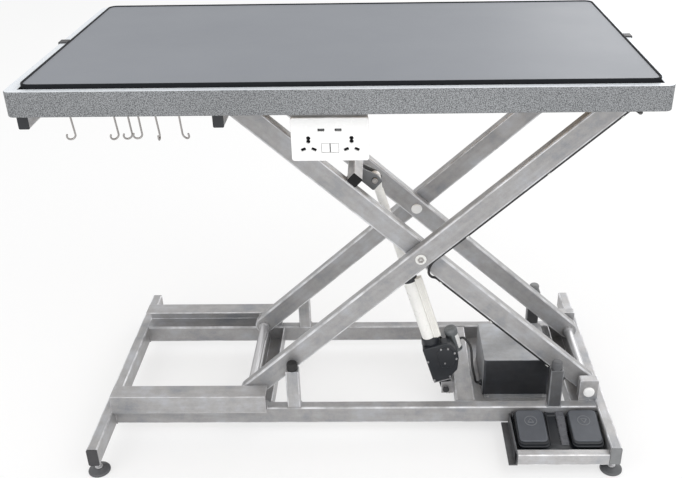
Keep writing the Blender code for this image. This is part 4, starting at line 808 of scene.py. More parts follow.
def weld_recipe():
    """A rippled weld bead along lines."""
    recipe = Recipe("weld_beads")
    radius = recipe.size("Bead radius", 0.0016)
    pitch = recipe.size("Ripple pitch", 0.0022)
    line = recipe.add("GeometryNodeMeshToCurve", {"Mesh": recipe.seed})
    step = recipe.math("DIVIDE", pitch, 4.0)
    fine = recipe.add("GeometryNodeResampleCurve", {"Curve": line.outputs[0], "Length": step},
                      mode="LENGTH")
    along = recipe.add("GeometryNodeSplineParameter").outputs["Length"]
    wave = recipe.math("SINE", recipe.math("MULTIPLY", recipe.math("DIVIDE", along, pitch), 2 * pi))
    swell = recipe.math("MULTIPLY_ADD", wave, 0.12, 0.88)
    ring = recipe.add("GeometryNodeCurvePrimitiveCircle", {"Resolution": 8, "Radius": radius})
    bead = recipe.add("GeometryNodeCurveToMesh",
                      {"Curve": fine.outputs[0], "Profile Curve": ring.outputs[0],
                       "Scale": swell, "Fill Caps": True})
    return recipe.end(bead.outputs[0])


def thread_recipe():
    """A screw thread rising from each point."""
    recipe = Recipe("stem_threads")
    radius = recipe.size("Stem radius", 0.005)
    height = recipe.size("Thread height", 0.02)
    turns = recipe.size("Turns", 14.0)
    depth = recipe.size("Thread depth", 0.0006)
    spiral = recipe.add("GeometryNodeCurveSpiral",
                        {"Resolution": 20, "Rotations": turns, "Start Radius": radius,
                         "End Radius": radius, "Height": height})
    ring = recipe.add("GeometryNodeCurvePrimitiveCircle", {"Resolution": 4, "Radius": depth})
    thread = recipe.add("GeometryNodeCurveToMesh",
                        {"Curve": spiral.outputs[0], "Profile Curve": ring.outputs[0],
                         "Fill Caps": True})
    placed = recipe.add("GeometryNodeInstanceOnPoints",
                        {"Points": recipe.seed, "Instance": thread.outputs[0]})
    return recipe.end(placed.outputs[0])


def clip_recipe():
    """Half-round cable clips on points, set across the cable and open to the arm."""
    recipe = Recipe("cable_clips")
    radius = recipe.size("Clip radius", 0.0036)
    width = recipe.size("Strap width", 0.007)
    thick = recipe.size("Strap thickness", 0.001)
    arc = recipe.add("GeometryNodeCurveArc", {"Resolution": 14, "Radius": radius, "Start Angle": 0.0,
                                              "Sweep Angle": pi})
    strap = recipe.add("GeometryNodeCurvePrimitiveQuadrilateral", {"Width": thick, "Height": width})
    clip = recipe.add("GeometryNodeCurveToMesh",
                      {"Curve": arc.outputs[0], "Profile Curve": strap.outputs[0],
                       "Fill Caps": True})
    turn = facing_turn(recipe, "facing", "Y", facing_turn(recipe, "along", "Z"), "Z")
    placed = recipe.add("GeometryNodeInstanceOnPoints",
                        {"Points": recipe.seed, "Instance": clip.outputs[0],
                         "Rotation": turn})
    return recipe.end(placed.outputs[0])


SCREWS = screw_recipe()
WELDS = weld_recipe()
THREADS = thread_recipe()
CLIPS = clip_recipe()


def rail(side, near, far, z0, x0, x1):
    """A channel rail along X, open towards the middle."""
    z1 = z0 + RAIL_H
    section = ((near, z0), (far, z0), (far, z1), (near, z1), (near, z1 - RAIL_T),
               (far - RAIL_T, z1 - RAIL_T), (far - RAIL_T, z0 + RAIL_T), (near, z0 + RAIL_T))
    outline = [(side * a, b) for a, b in section]
    return prism("x", x0, x1, filleted(outline, 0.0012), 0.0004)


def tie_channel(x):
    """A tie of channel that lies on its back across the base."""
    left, right = x - TIE_W / 2, x + TIE_W / 2
    outline = [(left, TIE_Z0), (right, TIE_Z0), (right, BASE_Z1), (right - RAIL_T, BASE_Z1),
               (right - RAIL_T, TIE_Z0 + RAIL_T), (left + RAIL_T, TIE_Z0 + RAIL_T),
               (left + RAIL_T, BASE_Z1), (left, BASE_Z1)]
    return prism("y", -TIE_Y, TIE_Y, filleted(outline, 0.0012), 0.0004)


def build_cross_tubes():
    """The tubes under both ends of the base, with their end plugs."""
    half, plug_t, margin = TUBE_W / 2, 0.0022, 0.0002
    for name, x, finish in (("left", half - BASE_X1, CAP), ("right", BASE_X1 - half, GREY_CAP)):
        tube = bar("y", 0.002 - BASE_Y1, BASE_Y1 - 0.002, x - half, x + half, BASE_Z0, BASE_Z1,
                   TUBE_CORNER)
        piece("cross_tube_" + name, PAINT_CROSS_LIT, "base", [tube], "base_cross_tube_" + name)
        plugs = [bar("y", side * (BASE_Y1 - plug_t), side * BASE_Y1, x - half + margin, x + half - margin,
                     BASE_Z0 + margin, BASE_Z1 - margin, TUBE_CORNER, 0.001) for side in (-1, 1)]
        piece("cross_tube_plugs_" + name, finish, "base", plugs)


def build_long_tubes():
    """The long tubes of the base with their rails, posts and pads; gives back the weld lines."""
    welds = []
    half, tie_half = POST_W / 2, TIE_W / 2
    pad = softened([(0, -0.001), (PAD_R, -0.001), (PAD_R, PAD_H * 0.85), (PAD_R * 0.8, PAD_H),
                    (0, PAD_H)], 0.002)
    for name, side in (("front", -1), ("rear", 1)):
        inner, outer = side * LONG_IN, side * LONG_OUT
        y0, y1 = sorted((inner, outer))
        tube = bar("x", -LONG_X, LONG_X, y0, y1, BASE_Z0, BASE_Z1, TUBE_CORNER)
        piece("long_tube_" + name, PAINT, "base", [tube], "base_long_tube_" + name)
        # Left posts in the lighter copy of the silver, painted light; right posts in the dark copy, painted
        # shade.
        for where, x, finish in zip(("left", "right"), POST_XS, (PAINT_POST_LIT, POST_SHADE)):
            post = bar("z", BASE_Z1 - 0.001, POST_Z1, x - half, x + half, y0 + GAP, y1 - GAP, 0.003)
            piece("rest_post_%s_%s" % (name, where), finish, "base", [post])
        channel = rail(side, LONG_IN, LONG_IN + LOWER_RAIL_W, BASE_Z1, GAP - LONG_X, RAIL_X1)
        piece("lower_rail_" + name, RAIL_PAINT_LIT, "base", [channel])
        pad_right = DARK_CAP if name == "front" else GREY_CAP
        for where, x, finish in zip(("left", "right"), POST_XS, (RUBBER, pad_right)):
            piece("rest_pad_%s_%s" % (name, where), finish, "base",
                  [moved(turned(pad), at(x, side * LONG_Y, POST_Z1))])
            welds.append([(x - half, outer, BASE_Z1), (x + half, outer, BASE_Z1)])
            welds += [[(x + way * half, y0, BASE_Z1), (x + way * half, y1, BASE_Z1)] for way in (-1, 1)]
        for x in (-LONG_X, LONG_X):
            welds += [[(x, y0, BASE_Z1), (x, y1, BASE_Z1)], [(x, y0, BASE_Z0), (x, y0, BASE_Z1)],
                      [(x, y1, BASE_Z0), (x, y1, BASE_Z1)]]
        for x in (TIE_LEFT_X, TIE_MID_X, TIE_RIGHT_X):
            welds += [[(edge, inner, TIE_Z0), (edge, inner, BASE_Z1)]
                      for edge in (x - tie_half, x + tie_half)]
        welds.append([(TIE_MID_X - tie_half, inner, BASE_Z1), (TIE_MID_X + tie_half, inner, BASE_Z1)])
    return welds


def pivot_block(ends, z0, z1, axis_z):
    """A block that takes one end of a pivot shaft."""
    outline = rounded(PIVOT_X - BLOCK_HALF_W, PIVOT_X + BLOCK_HALF_W, z0, z1, 0.004)
    return prism("y", *ends, outline, 0.0012, [circle(PIVOT_X, axis_z, SHAFT_R + GAP)])


def build_ties():
    """The ties across the base with shelf, fork and pivot blocks; gives back the weld lines."""
    welds, blocks = [], []
    half = TIE_W / 2
    piece("tie_left", PAINT_CROSS_LIT, "base", [tie_channel(TIE_LEFT_X)], "base_tie_left")
    shelf = bar("z", 0.0425, 0.045, TIE_MID_X + half - 0.001, 0.485, GAP - TIE_Y, TIE_Y - GAP, 0.002,
                0.0004)
    tube = bar("y", -TIE_Y, TIE_Y, TIE_MID_X - half, TIE_MID_X + half, TIE_Z0, BASE_Z1, TUBE_CORNER)
    piece("tie_middle", PAINT_CROSS_LIT, "base", [tube, shelf, actuator_fork()], "base_tie_middle")
    for side in (-1, 1):
        ends = sorted((side * (TIE_Y - GAP), side * (TIE_Y - GAP - 0.022)))
        blocks.append(pivot_block(ends, BASE_Z1, BASE_Z1 + 0.056, AXIS_Z))
        welds += [[(PIVOT_X - BLOCK_HALF_W, y, BASE_Z1), (TIE_RIGHT_X + half, y, BASE_Z1)] for y in ends]
    piece("tie_right", PAINT_CROSS_LIT, "base", [tie_channel(TIE_RIGHT_X), *blocks], "base_tie_right")
    return welds


def build_base():
    """The welded base."""
    build_cross_tubes()
    welds = build_long_tubes() + build_ties()
    WELDS.grow("base_welds", lines_mesh(*welds), PAINT, "base", Bead_radius=0.0019)


def actuator_fork():
    """The fork on the middle tie that carries the actuator's foot."""
    near, far = 0.0126, 0.0166
    front, web, back = FOOT_PIN.x - 0.0115, FOOT_PIN.x + 0.0126, TIE_MID_X - TIE_W / 2 + 0.001
    outline = [(front, ACT_Y - far), (back, ACT_Y - far), (back, ACT_Y + far), (front, ACT_Y + far),
               (front, ACT_Y + near), (web, ACT_Y + near), (web, ACT_Y - near), (front, ACT_Y - near)]
    return prism("z", FOOT_PIN.z - 0.015, FOOT_PIN.z + 0.019, filleted(outline, 0.0012), 0.0006)


def build_fork_pin():
    """The clevis pin in the fork, with its head and split pin."""
    half, head_h, head_r, pin_r = 0.0206, 0.003, 0.0082, 0.0058
    profile = softened([(0, -half - head_h), (head_r, -half - head_h), (head_r, -half), (pin_r, -half),
                        (pin_r, half), (0, half)], 0.0006)
    pin = moved(turned(profile, 28), Matrix.Translation(FOOT_PIN) @ ALONG_Y)
    piece("fork_pin", CAP, "base", [pin])
    tail = FOOT_PIN + Vector((0, -half - 0.0012, 0))
    legs = [wire(smooth_route([tail + Vector((0, 0, 0.009)), tail,
                               tail + Vector((0.002 * way, 0, -0.007)),
                               tail + Vector((0.007 * way, -0.001, -0.011))], 0.002), 0.0009, 8)
            for way in (0.4, 1.3)]
    piece("split_pin", ZINC, "base", legs)


def build_feet():
    """Levelling feet: a moulded disc with a tread, a threaded stem and a lock nut."""
    disc_r, stem_r, stem_z1, thread_z0, inset = 0.025, 0.0047, 0.058, 0.0175, 0.023
    nut_r, nut_bore, nut_z0, nut_z1 = 0.0086, 0.0048, 0.0285, 0.0345
    disc_line = softened([(0, 0), (0.0232, 0), (disc_r, 0.0018), (disc_r, 0.0050), (0.0238, 0.0062),
                          (0.0232, 0.0074), (0.0185, 0.0094), (0.0120, 0.0128), (0.0105, 0.0132),
                          (0, 0.0132)], 0.0008)
    stem_line = softened([(0, 0.0130), (0.0092, 0.0130), (0.0088, 0.0165), (stem_r, 0.0168),
                          (stem_r, stem_z1), (0, stem_z1)], 0.0008)
    for name, sx, sy in (("front_left", -1, -1), ("front_right", 1, -1), ("rear_left", -1, 1),
                         ("rear_right", 1, 1)):
        x, y = sx * (BASE_X1 - TUBE_W / 2), sy * (BASE_Y1 - inset)
        body = "foot_" + name
        disc, stem = (moved(turned(line), at(x, y, 0)) for line in (disc_line, stem_line))
        nut = prism("z", nut_z0, nut_z1, circle(x, y, nut_r, 6), 0.0006, [circle(x, y, nut_bore, 16)])
        piece("shoe_" + name, DARK_CAP, body, [disc], body)
        piece("stem_" + name, ZINC, body, [stem, nut])
        THREADS.grow("thread_" + name, points_mesh([(x, y, thread_z0)]), ZINC, body, Stem_radius=stem_r,
                     Thread_height=0.019, Turns=13.0, Thread_depth=0.0006)


def build_control_box():
    """The control box: folded cover with a flange, screws, glands and the board inside."""
    x0, x1, y0, y1, z0 = BOX_X0, BOX_X1, BOX_Y0, BOX_Y1, BOX_Z0
    sheet_t, flange_in, flange_out, fold_z = 0.003, 0.004, 0.012, z0 + 0.004
    screw_in, screw_out = 0.012, 0.0065
    gland_r, gland_tip_r, nut_r, nut_h = 0.0065, 0.0052, 0.0088, 0.0028
    cover = prism("z", z0, BOX_Z1, rounded(x0, x1, y0, y1, 0.006, 6), 0.0018, steps=3)
    flange = bar("z", z0, z0 + sheet_t, x0 + flange_in, x1 - flange_in, y0 - flange_out, y1 + flange_out,
                 0.0015, 0.0004)
    # The flange takes the lighter copy of the dark sheet paint: painted sheen.
    piece("control_box_flange", SHEET_SHEEN, "base", [flange])
    made = piece("control_box_cover", [SHEET, SHEET_SHEEN], "base", [cover], "control_cover")
    # The cover's top and left side take the lighter copy of the dark sheet paint: painted sheen.
    for face in made.data.polygons:
        if face.center.z > fold_z and (face.normal.z > 0.9 or face.normal.x < -0.9):
            face.material_index = 1
    heads = [(x, y, z0 + sheet_t) for x in (x0 + screw_in, x1 - screw_in)
             for y in (y0 - screw_out, y1 + screw_out)]
    SCREWS.grow("cover_screws", points_mesh(heads, facing=[(0, 0, 1)] * len(heads)), ZINC, "base",
                Head_radius=0.0046, Head_height=0.0028)
    profile = softened([(0, -0.001), (gland_r, -0.001), (gland_r, 0.0042), (gland_tip_r, GLAND_L),
                        (0, GLAND_L)], 0.0007)
    glands = (("motor", -1, (x0, *MOTOR_ENTRY)), ("cable", 1, (x1, *CABLE_ENTRY)),
              ("mains", 1, (x1, *MAINS_ENTRY)))
    for name, side, place in glands:
        pose = at(*place) @ Matrix.Rotation(side * pi / 2, 4, "Y")
        nut = prism("z", 0, nut_h, circle(0, 0, nut_r, 6), 0.0005)
        piece("gland_" + name, BLACK, "base", [moved(turned(profile, 28), pose), moved(nut, pose)])
    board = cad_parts["control_board"]
    board.data.materials.clear()
    board.data.materials.append(CIRCUIT)


def build_tray():
    """The tray of the foot switch: front rail, floor and side angle."""
    y0, y1 = -BASE_Y1, -LONG_OUT - GAP
    left, web, right, low, flange_z, high = 0.350, 0.3665, 0.370, 0.033, 0.0362, 0.063
    rail_y1, rail_z0, rail_z1 = y0 + 0.020, 0.0333, 0.0627
    floor_x0, floor_y0, floor_z0, floor_z1 = 0.369, y0 + 0.019, 0.0336, 0.035
    angle = [(left, low), (right, low), (right, high), (web, high), (web, flange_z), (left, flange_z)]
    front_rail = bar("x", web, LONG_X, y0 + GAP, rail_y1, rail_z0, rail_z1, 0.0025)
    floor = bar("z", floor_z0, floor_z1, floor_x0, LONG_X - GAP, floor_y0, y1 - GAP, 0.001, 0.0003)
    # Rail and floor in the lighter copy of the silver, painted light; the side angle in the dark copy,
    # painted shade.
    piece("tray", TRAY_PAINT_LIT, "base", [front_rail, floor], "pedal_tray")
    piece("tray_side_angle", TRAY_SIDE_SHADE, "base", [prism("y", y0, y1, filleted(angle, 0.001), 0.0005)])


def build_foot_switch():
    """The double pedal: a base with hinge lugs and keys, two pedals, the pin and the spine between."""
    x0, x1, y0, y1, z0 = 0.3718, 0.5732, -0.3085, -0.1863, 0.0353
    slab_h, lug_t, lug_r, pin_r, margin = 0.016, 0.0026, 0.0082, 0.003, 0.0008
    mouth_half, scoop_half, key_half, spine_half = 0.031, 0.021, 0.010, 0.023
    low, high = z0 + 0.015, z0 + 0.036
    key_y0, key_y1, key_z1 = y0 + 0.020, y0 + 0.032, z0 + 0.020
    hinge_y, hinge_z = y1 - 0.012, z0 + slab_h + 0.0147
    hinge = Matrix.Translation((0, hinge_y, hinge_z))
    middle = (x0 + x1) / 2
    scoop = y0 + 0.013
    plan = filleted([(x0, y0), (middle - mouth_half, y0), (middle - scoop_half, scoop),
                     (middle + scoop_half, scoop), (middle + mouth_half, y0), (x1, y0), (x1, y1),
                     (x0, y1)], 0.013, 7)
    slab = stacked("z", plan, [(0.0010, z0), (0, z0 + 0.001), (0, z0 + 0.0075), (0.0016, z0 + 0.0088),
                               (0.0016, z0 + 0.0098), (0.0006, z0 + 0.0108), (0.0006, z0 + 0.0140),
                               (0.0026, z0 + slab_h)])
    lugs = [bar("x", x, x + lug_t, hinge_y - lug_r, hinge_y + lug_r, low, hinge_z + lug_r, 0.003, 0.0006)
            for x in (x0 + GAP, x1 - GAP - lug_t)]
    keys = []
    for name, side in (("up", -1), ("down", 1)):
        centre = middle + side * ((x1 - x0) / 2 - lug_t - 4 * GAP - PEDAL_HALF_W)
        keys.append(bar("z", low, key_z1, centre - key_half, centre + key_half, key_y0, key_y1, 0.003))
        build_pedal(name, side, centre, hinge @ Matrix.Rotation(PEDAL_TILT, 4, "X"))
    pin_line = [(0, x0 + margin), (pin_r, x0 + margin), (pin_r, x1 - margin), (0, x1 - margin)]
    pin = moved(turned(softened(pin_line, 0.0004), 20), hinge @ Matrix.Rotation(pi / 2, 4, "Y"))
    front, rear = y0 + 0.020, y1 - GAP
    spine_line = [(front, low), (rear, low), (rear, high), (hinge_y - 0.010, high + 0.0005),
                  (hinge_y - 0.030, high - 0.004), (hinge_y - 0.055, low + 0.0085),
                  (front + 0.012, low + 0.0045)]
    trough_line = [(front + 0.004, low), (rear, low), (rear, high - 0.003),
                   (hinge_y - 0.004, high - 0.006), (front + 0.010, low + 0.003)]
    left, right = middle - spine_half, middle + spine_half
    trough = prism("x", left, right, filleted(trough_line, 0.003, 4), 0.0015, steps=3)
    cheek = prism("x", left, middle - 0.019, filleted(spine_line, 0.004, 5), 0.0012, steps=3)
    spine = prism("x", middle + 0.002, right, filleted(spine_line, 0.005, 6), 0.004, steps=4)
    piece("switch_base", BLACK, "base", [slab, trough, cheek, *lugs, *keys], "pedal_base")
    # The spine is in the grey copy of the black plastic: painted sheen.
    piece("switch_spine", SPINE_SHEEN, "base", [spine])
    piece("hinge_pin", BLACK, "base", [pin])


def build_pedal(name, side, centre, pose):
    """One pedal: a black skirt with a lip, a grey tread and a raised arrow in a ring."""
    body = "pedal_" + name
    x0, x1 = centre - PEDAL_HALF_W, centre + PEDAL_HALF_W
    length, top, thick, barrel_r, hollow = 0.104, 0.0165, 0.009, 0.0062, 0.62
    barrel_in, lip_in, tread_in, pin_bore = 0.012, 0.0013, 0.0030, 0.0033
    skirt_line = rounded(x0, x1, -length, barrel_r, 0.013, 9)
    skirt = prism("z", top - thick, top - 0.0050, skirt_line, 0.0012, steps=3)
    lip_line = rounded(x0 + lip_in, x1 - lip_in, 0.0055 - length, 0.0050, 0.012, 9)
    lip = prism("z", top - 0.0054, top - 0.0016, lip_line, 0.0012, steps=3)
    barrel_line = [(-barrel_r, 0.0085), (-barrel_r, -barrel_r), (barrel_r, -barrel_r), (barrel_r, 0.0085)]
    barrel = prism("x", x0 + barrel_in, x1 - barrel_in, filleted(barrel_line, 0.0055, 6), 0.0006,
                   [circle(0, 0, pin_bore, 20)])
    piece("pedal_skirt_" + name, BLACK, body, [moved(solid, pose) for solid in (skirt, lip, barrel)],
          body)
    tread_line = rounded(x0 + tread_in, x1 - tread_in, 0.0120 - length, 0.0038, 0.011, 9)
    tread = prism("z", top - 0.004, top, tread_line, 0.0030, steps=5)
    piece("pedal_tread_" + name, PEDAL, body, [moved(tread, pose)])
    middle = -0.030
    ring = turned([(0.0150, top - 0.0004), (0.0150, top + 0.0005), (0.0140, top + 0.0008),
                   (0.0130, top + 0.0005), (0.0130, top - 0.0004)], 48, closed=True)
    outer = filleted([(0.0, 0.0085), (-0.0085, -0.0060), (0.0085, -0.0060)], 0.0015, 4)
    opening = [(centre + a * hollow, middle - side * b * hollow) for a, b in outer][::-1]
    arrow = prism("z", top - 0.0006, top + 0.0008, [(centre + a, middle - side * b) for a, b in outer],
                  0.0004, [opening])
    marks = [moved(ring, pose @ at(centre, middle, 0)), moved(arrow, pose)]
    piece("pedal_arrow_" + name, PEDAL_MARK, body, marks)


def arm(pose, y):
    """A scissor arm of rounded tube with bores for its shafts and centre bolt."""
    half, edge = ARM_L / 2, ARM_H / 2
    outline = rounded(-half - edge, half + edge, -edge, edge, edge, 14)
    bores = [circle(-half, 0, SHAFT_R + GAP), circle(0, 0, 0.0083), circle(half, 0, SHAFT_R + GAP)]
    return moved(prism("y", y - ARM_T / 2, y + ARM_T / 2, outline, 0.0042, bores, steps=4), pose)


def cross_shaft(x, z, half, collar=None):
    """A turned cross shaft along Y, with a collar inside each arm."""
    steps = [(0, -half), (SHAFT_R, -half)]
    if collar:
        inside = collar - COLLAR_W
        steps += [(SHAFT_R, -collar), (COLLAR_R, -collar), (COLLAR_R, -inside), (SHAFT_R, -inside),
                  (SHAFT_R, inside), (COLLAR_R, inside), (COLLAR_R, collar), (SHAFT_R, collar)]
    steps += [(SHAFT_R, half), (0, half)]
    return moved(turned(softened(steps)), at(x, 0, z) @ ALONG_Y)


def roller(x, z, y):
    """A nylon roller with rounded rims and a bore."""
    r, w, dish, bore = ROLLER_R, ROLLER_HALF_W, 0.0008, SHAFT_R + GAP
    half = [(r, w - 0.001), (r - 0.001, w), (r - 0.003, w), (r - 0.0035, w - dish), (0.0155, w - dish),
            (0.0150, w), (bore, w)]
    profile = [(radius, -height) for radius, height in reversed(half)] + half
    return moved(turned(profile, 48, closed=True), at(x, y, z) @ ALONG_Y)


def build_scissor():
    """Arms, shafts, bolts, rollers and pivot caps."""
    lower_y = LONG_IN + (LOWER_RAIL_W - RAIL_T) / 2
    upper_y = LONG_IN - UPPER_RAIL_W + (UPPER_RAIL_W - RAIL_T) / 2
    for name, side in (("front", -1), ("rear", 1)):
        inner, outer = arm(INNER_POSE, side * INNER_Y), arm(OUTER_POSE, side * OUTER_Y)
        piece("inner_tube_" + name, PAINT_INNER, "inner_arms", [inner], "inner_arm_" + name)
        piece("outer_tube_" + name, PAINT_OUTER, "outer_arms", [outer], "outer_arm_" + name)
        build_centre_bolt(name, side)
        for level, z, y in (("lower", AXIS_Z, lower_y), ("upper", UPPER_Z, upper_y)):
            piece("%s_wheel_%s" % (level, name), NYLON, level + "_rollers",
                  [roller(ROLLER_X, z, side * y)], "%s_roller_%s" % (level, name))
    inner_face = INNER_Y - ARM_T / 2 - GAP
    outer_face = OUTER_Y - ARM_T / 2 - GAP
    shafts = (("lower_shaft", "inner_arms", (PIVOT_X, AXIS_Z, LONG_IN - GAP, inner_face),
               "lower_pivot_shaft"),
              ("upper_axle", "inner_arms", (ROLLER_X, UPPER_Z, upper_y + ROLLER_HALF_W, inner_face),
               "upper_roller_axle"),
              ("lower_axle", "outer_arms", (ROLLER_X, AXIS_Z, lower_y + ROLLER_HALF_W, outer_face),
               "lower_roller_axle"),
              ("upper_shaft", "outer_arms", (PIVOT_X, UPPER_Z, OUTER_Y + ARM_T / 2 + GAP),
               "upper_pivot_shaft"))
    for name, body, sizes, node in shafts:
        piece(name, ZINC, body, [cross_shaft(*sizes)], node)
    cap = [(0, 0), (0.0135, 0), (0.0135, 0.0025), (0.0125, 0.0042), (0.010, 0.005), (0, 0.0052)]
    for name, side in (("front", -1), ("rear", 1)):
        turn = ALONG_Y if side > 0 else Matrix.Rotation(pi / 2, 4, "X")
        piece("pivot_cap_" + name, WHITE, "inner_arms",
              [moved(turned(softened(cap, 0.0004)), at(PIVOT_X, side * (LONG_IN - GAP), AXIS_Z) @ turn)])


def build_centre_bolt(name, side):
    """The bolt where the arms cross: shank with spacer, washer, nut, and cap on the inner arm."""
    inner_face = INNER_Y - ARM_T / 2 - GAP
    gap_in, gap_out = INNER_Y + ARM_T / 2 + GAP, OUTER_Y - ARM_T / 2 - GAP
    head = OUTER_Y + ARM_T / 2 + GAP
    steps = [(0, inner_face - 0.001), (BOLT_R, inner_face - 0.001), (BOLT_R, gap_in),
             (2 * BOLT_R, gap_in), (2 * BOLT_R, gap_out), (BOLT_R, gap_out), (BOLT_R, head + 0.001),
             (0, head + 0.001)]
    disc = [(0, head), (0.0125, head), (0.0125, head + 0.0016), (0.0112, head + 0.0026),
            (0, head + 0.0026)]
    cap = [(0, inner_face), (0.0135, inner_face), (0.0135, inner_face - 0.0025),
           (0.0108, inner_face - 0.005), (0, inner_face - 0.0052)]
    turn = at(CENTRE.x, 0, CENTRE.z) @ ALONG_Y @ Matrix.Rotation(pi if side < 0 else 0, 4, "X")
    shank = moved(turned(softened(steps, 0.0004)), turn)
    piece("pivot_bolt_" + name, ZINC, "inner_arms", [shank], "centre_bolt_" + name)
    piece("pivot_disc_" + name, NYLON, "inner_arms", [moved(turned(softened(disc, 0.0004)), turn)])
    hexagon = prism("z", head + 0.002, head + 0.005, circle(0, 0, 0.0074, 6), 0.0007,
                    [circle(0, 0, 0.0032, 16)])
    piece("pivot_nut_" + name, HOOK_STEEL, "inner_arms", [moved(hexagon, turn)])
    piece("bolt_cap_" + name, WHITE, "inner_arms", [moved(turned(softened(cap, 0.0008)), turn)])


def build_clevis():
    """The square tube across the inner arms with the plates that take the rod's eye."""
    half, tip, margin = 0.0125, INNER_Y + ARM_T / 2, 0.0001
    from_pivot, plug_t, plate_t, plate_gap = 0.767, 0.0012, 0.006, 0.0102
    x = ARM_L / 2 - from_pivot
    z0 = ARM_H / 2 + GAP
    z1 = z0 + 2 * half
    pin_x, pin_z = CLEVIS_PIN_X, CLEVIS_PIN_Z
    heel, toe = x + 0.0115, pin_x + 0.0145
    tube = bar("y", 0.001 - tip, tip - 0.001, x - half, x + half, z0, z1, 0.003)
    piece("clevis_tube", PAINT_CROSS_LIT, "inner_arms", [moved(tube, INNER_POSE)], "clevis_bar")
    plugs = [bar("y", *sorted((side * (tip - plug_t), side * tip)), x - half + margin, x + half - margin,
                 z0 + margin, z1 - margin, 0.003, 0.0005) for side in (-1, 1)]
    piece("clevis_tube_plugs", PLUG, "inner_arms", [moved(plug, INNER_POSE) for plug in plugs])
    outline = filleted([(heel, z0 + GAP), (toe, z0 + GAP), (toe, z0 + 0.031), (pin_x - 0.004, z0 + 0.034),
                        (heel, z0 + 0.0245)], 0.0035, 5)
    steps = [(0, -0.001), (0.0075, -0.001), (0.0075, 0.0022), (0.0062, 0.005), (0.0045, 0.005),
             (0.0040, 0.004), (0, 0.004)]
    plates, bolts, welds = [], [], []
    for side in (-1, 1):
        near = ACT_Y + side * plate_gap
        far = near + side * plate_t
        plates.append(moved(prism("y", *sorted((near, far)), outline, 0.0008), INNER_POSE))
        profile = softened([(radius, far + side * height) for radius, height in steps], 0.0004)
        bolts.append(moved(turned(profile), INNER_POSE @ at(pin_x, 0, pin_z) @ ALONG_Y))
        for y in (near, far):
            welds.append([INNER_POSE @ Vector((x + half, y, z)) for z in (z0 + 0.001, z1)])
    piece("clevis_plates", CLEVIS_STEEL, "inner_arms", plates)
    piece("clevis_bolt_ends", HOOK_STEEL, "inner_arms", bolts)
    for side in (-1, 1):
        for y in (side * (INNER_Y - ARM_T / 2), side * (INNER_Y + ARM_T / 2 - 0.002)):
            welds.append([INNER_POSE @ Vector((x + way * half, y, z0)) for way in (-1, 1)])
    WELDS.grow("clevis_welds", lines_mesh(*welds), PAINT, "inner_arms", Bead_radius=0.0014)


def housed(name, finish, solids, stands_for=(), pose=ACT_POSE):
    """A piece of the actuator's housing, made about the foot pin with Z along the rod."""
    piece(name, finish, "actuator_housing", [moved(solid, pose) for solid in solids], stands_for)


def build_gear_case():
    """The gear case in two halves with its boss, lug, boot, foot strip and screws."""
    front = filleted([(-0.0225, 0.036), (0.0235, 0.036), (0.0300, 0.046), (0.0440, 0.0565),
                      (0.0560, 0.088), (0.0558, 0.105), (0.0530, 0.117), (0.0470, 0.132),
                      (0.0400, 0.1395), (0.0280, 0.1400), (0.0225, 0.1385), (-0.0225, 0.1385)], 0.004, 4)
    rear = filleted([(-0.0235, 0.038), (0.0205, 0.038), (0.0265, 0.060), (0.0495, 0.082),
                     (0.0520, 0.0847), (0.0172, 0.0847), (0.0172, 0.1385), (-0.0235, 0.1385)], 0.002, 3)
    raised = filleted([(0.0085, 0.072), (0.0400, 0.0690), (0.0500, 0.090), (0.0460, 0.116),
                       (0.0300, 0.1300), (0.0085, 0.122)], 0.007, 6)
    half_d, front_seam, rear_seam = 0.030, -0.0012, -0.0015
    boss_y0, boss_y1, head_y = -0.0318, -0.0295, -0.0302
    halves = [prism("y", -half_d, front_seam, front, 0.0030, steps=4),
              prism("y", rear_seam, half_d, rear, 0.0025, steps=3)]
    boss = prism("y", boss_y0, boss_y1, raised, 0.0016, steps=3)
    lug_r, lug_top, pin_bore = 0.012, 0.044, 0.0061
    lug_end = [(lug_r * cos(pi + pi * i / 14), lug_r * sin(pi + pi * i / 14)) for i in range(15)]
    lug = prism("y", -lug_r, lug_r, [(-lug_r, lug_top), *lug_end, (lug_r, lug_top)], 0.0012,
                [circle(0, 0, pin_bore)])
    housed("gear_case", BLACK, [*halves, boss, lug], "actuator_gearbox")
    boot = softened([(0.0140, 0.108), (0.0245, 0.108), (0.0240, 0.126), (0.0212, 0.146), (0.0196, 0.154),
                     (0.0170, 0.1550), (0.0140, 0.1550)], 0.0014, 3)
    housed("barrel_boot", BLACK, [turned(boot, 56, closed=True)])
    strip = bar("y", -0.0308, -0.006, -0.0215, 0.0225, 0.0346, 0.0363, 0.0006, 0.0003)
    housed("gear_case_foot_strip", ZINC, [strip])
    heads = [(0.0201, 0.0852), (0.0379, 0.1234), (0.0213, 0.1269), (0.0500, 0.1069), (0.0500, 0.0896),
             (0.0215, 0.0425), (-0.0185, 0.0425), (-0.0185, 0.100)]
    ahead = ACT_POSE.to_3x3() @ Vector((0, -1, 0))
    places = [ACT_POSE @ Vector((x, head_y, s)) for x, s in heads]
    SCREWS.grow("gear_case_screws", points_mesh(places, facing=[ahead] * len(places)), ZINC,
                "actuator_housing", Head_radius=0.0028, Head_height=0.0024)


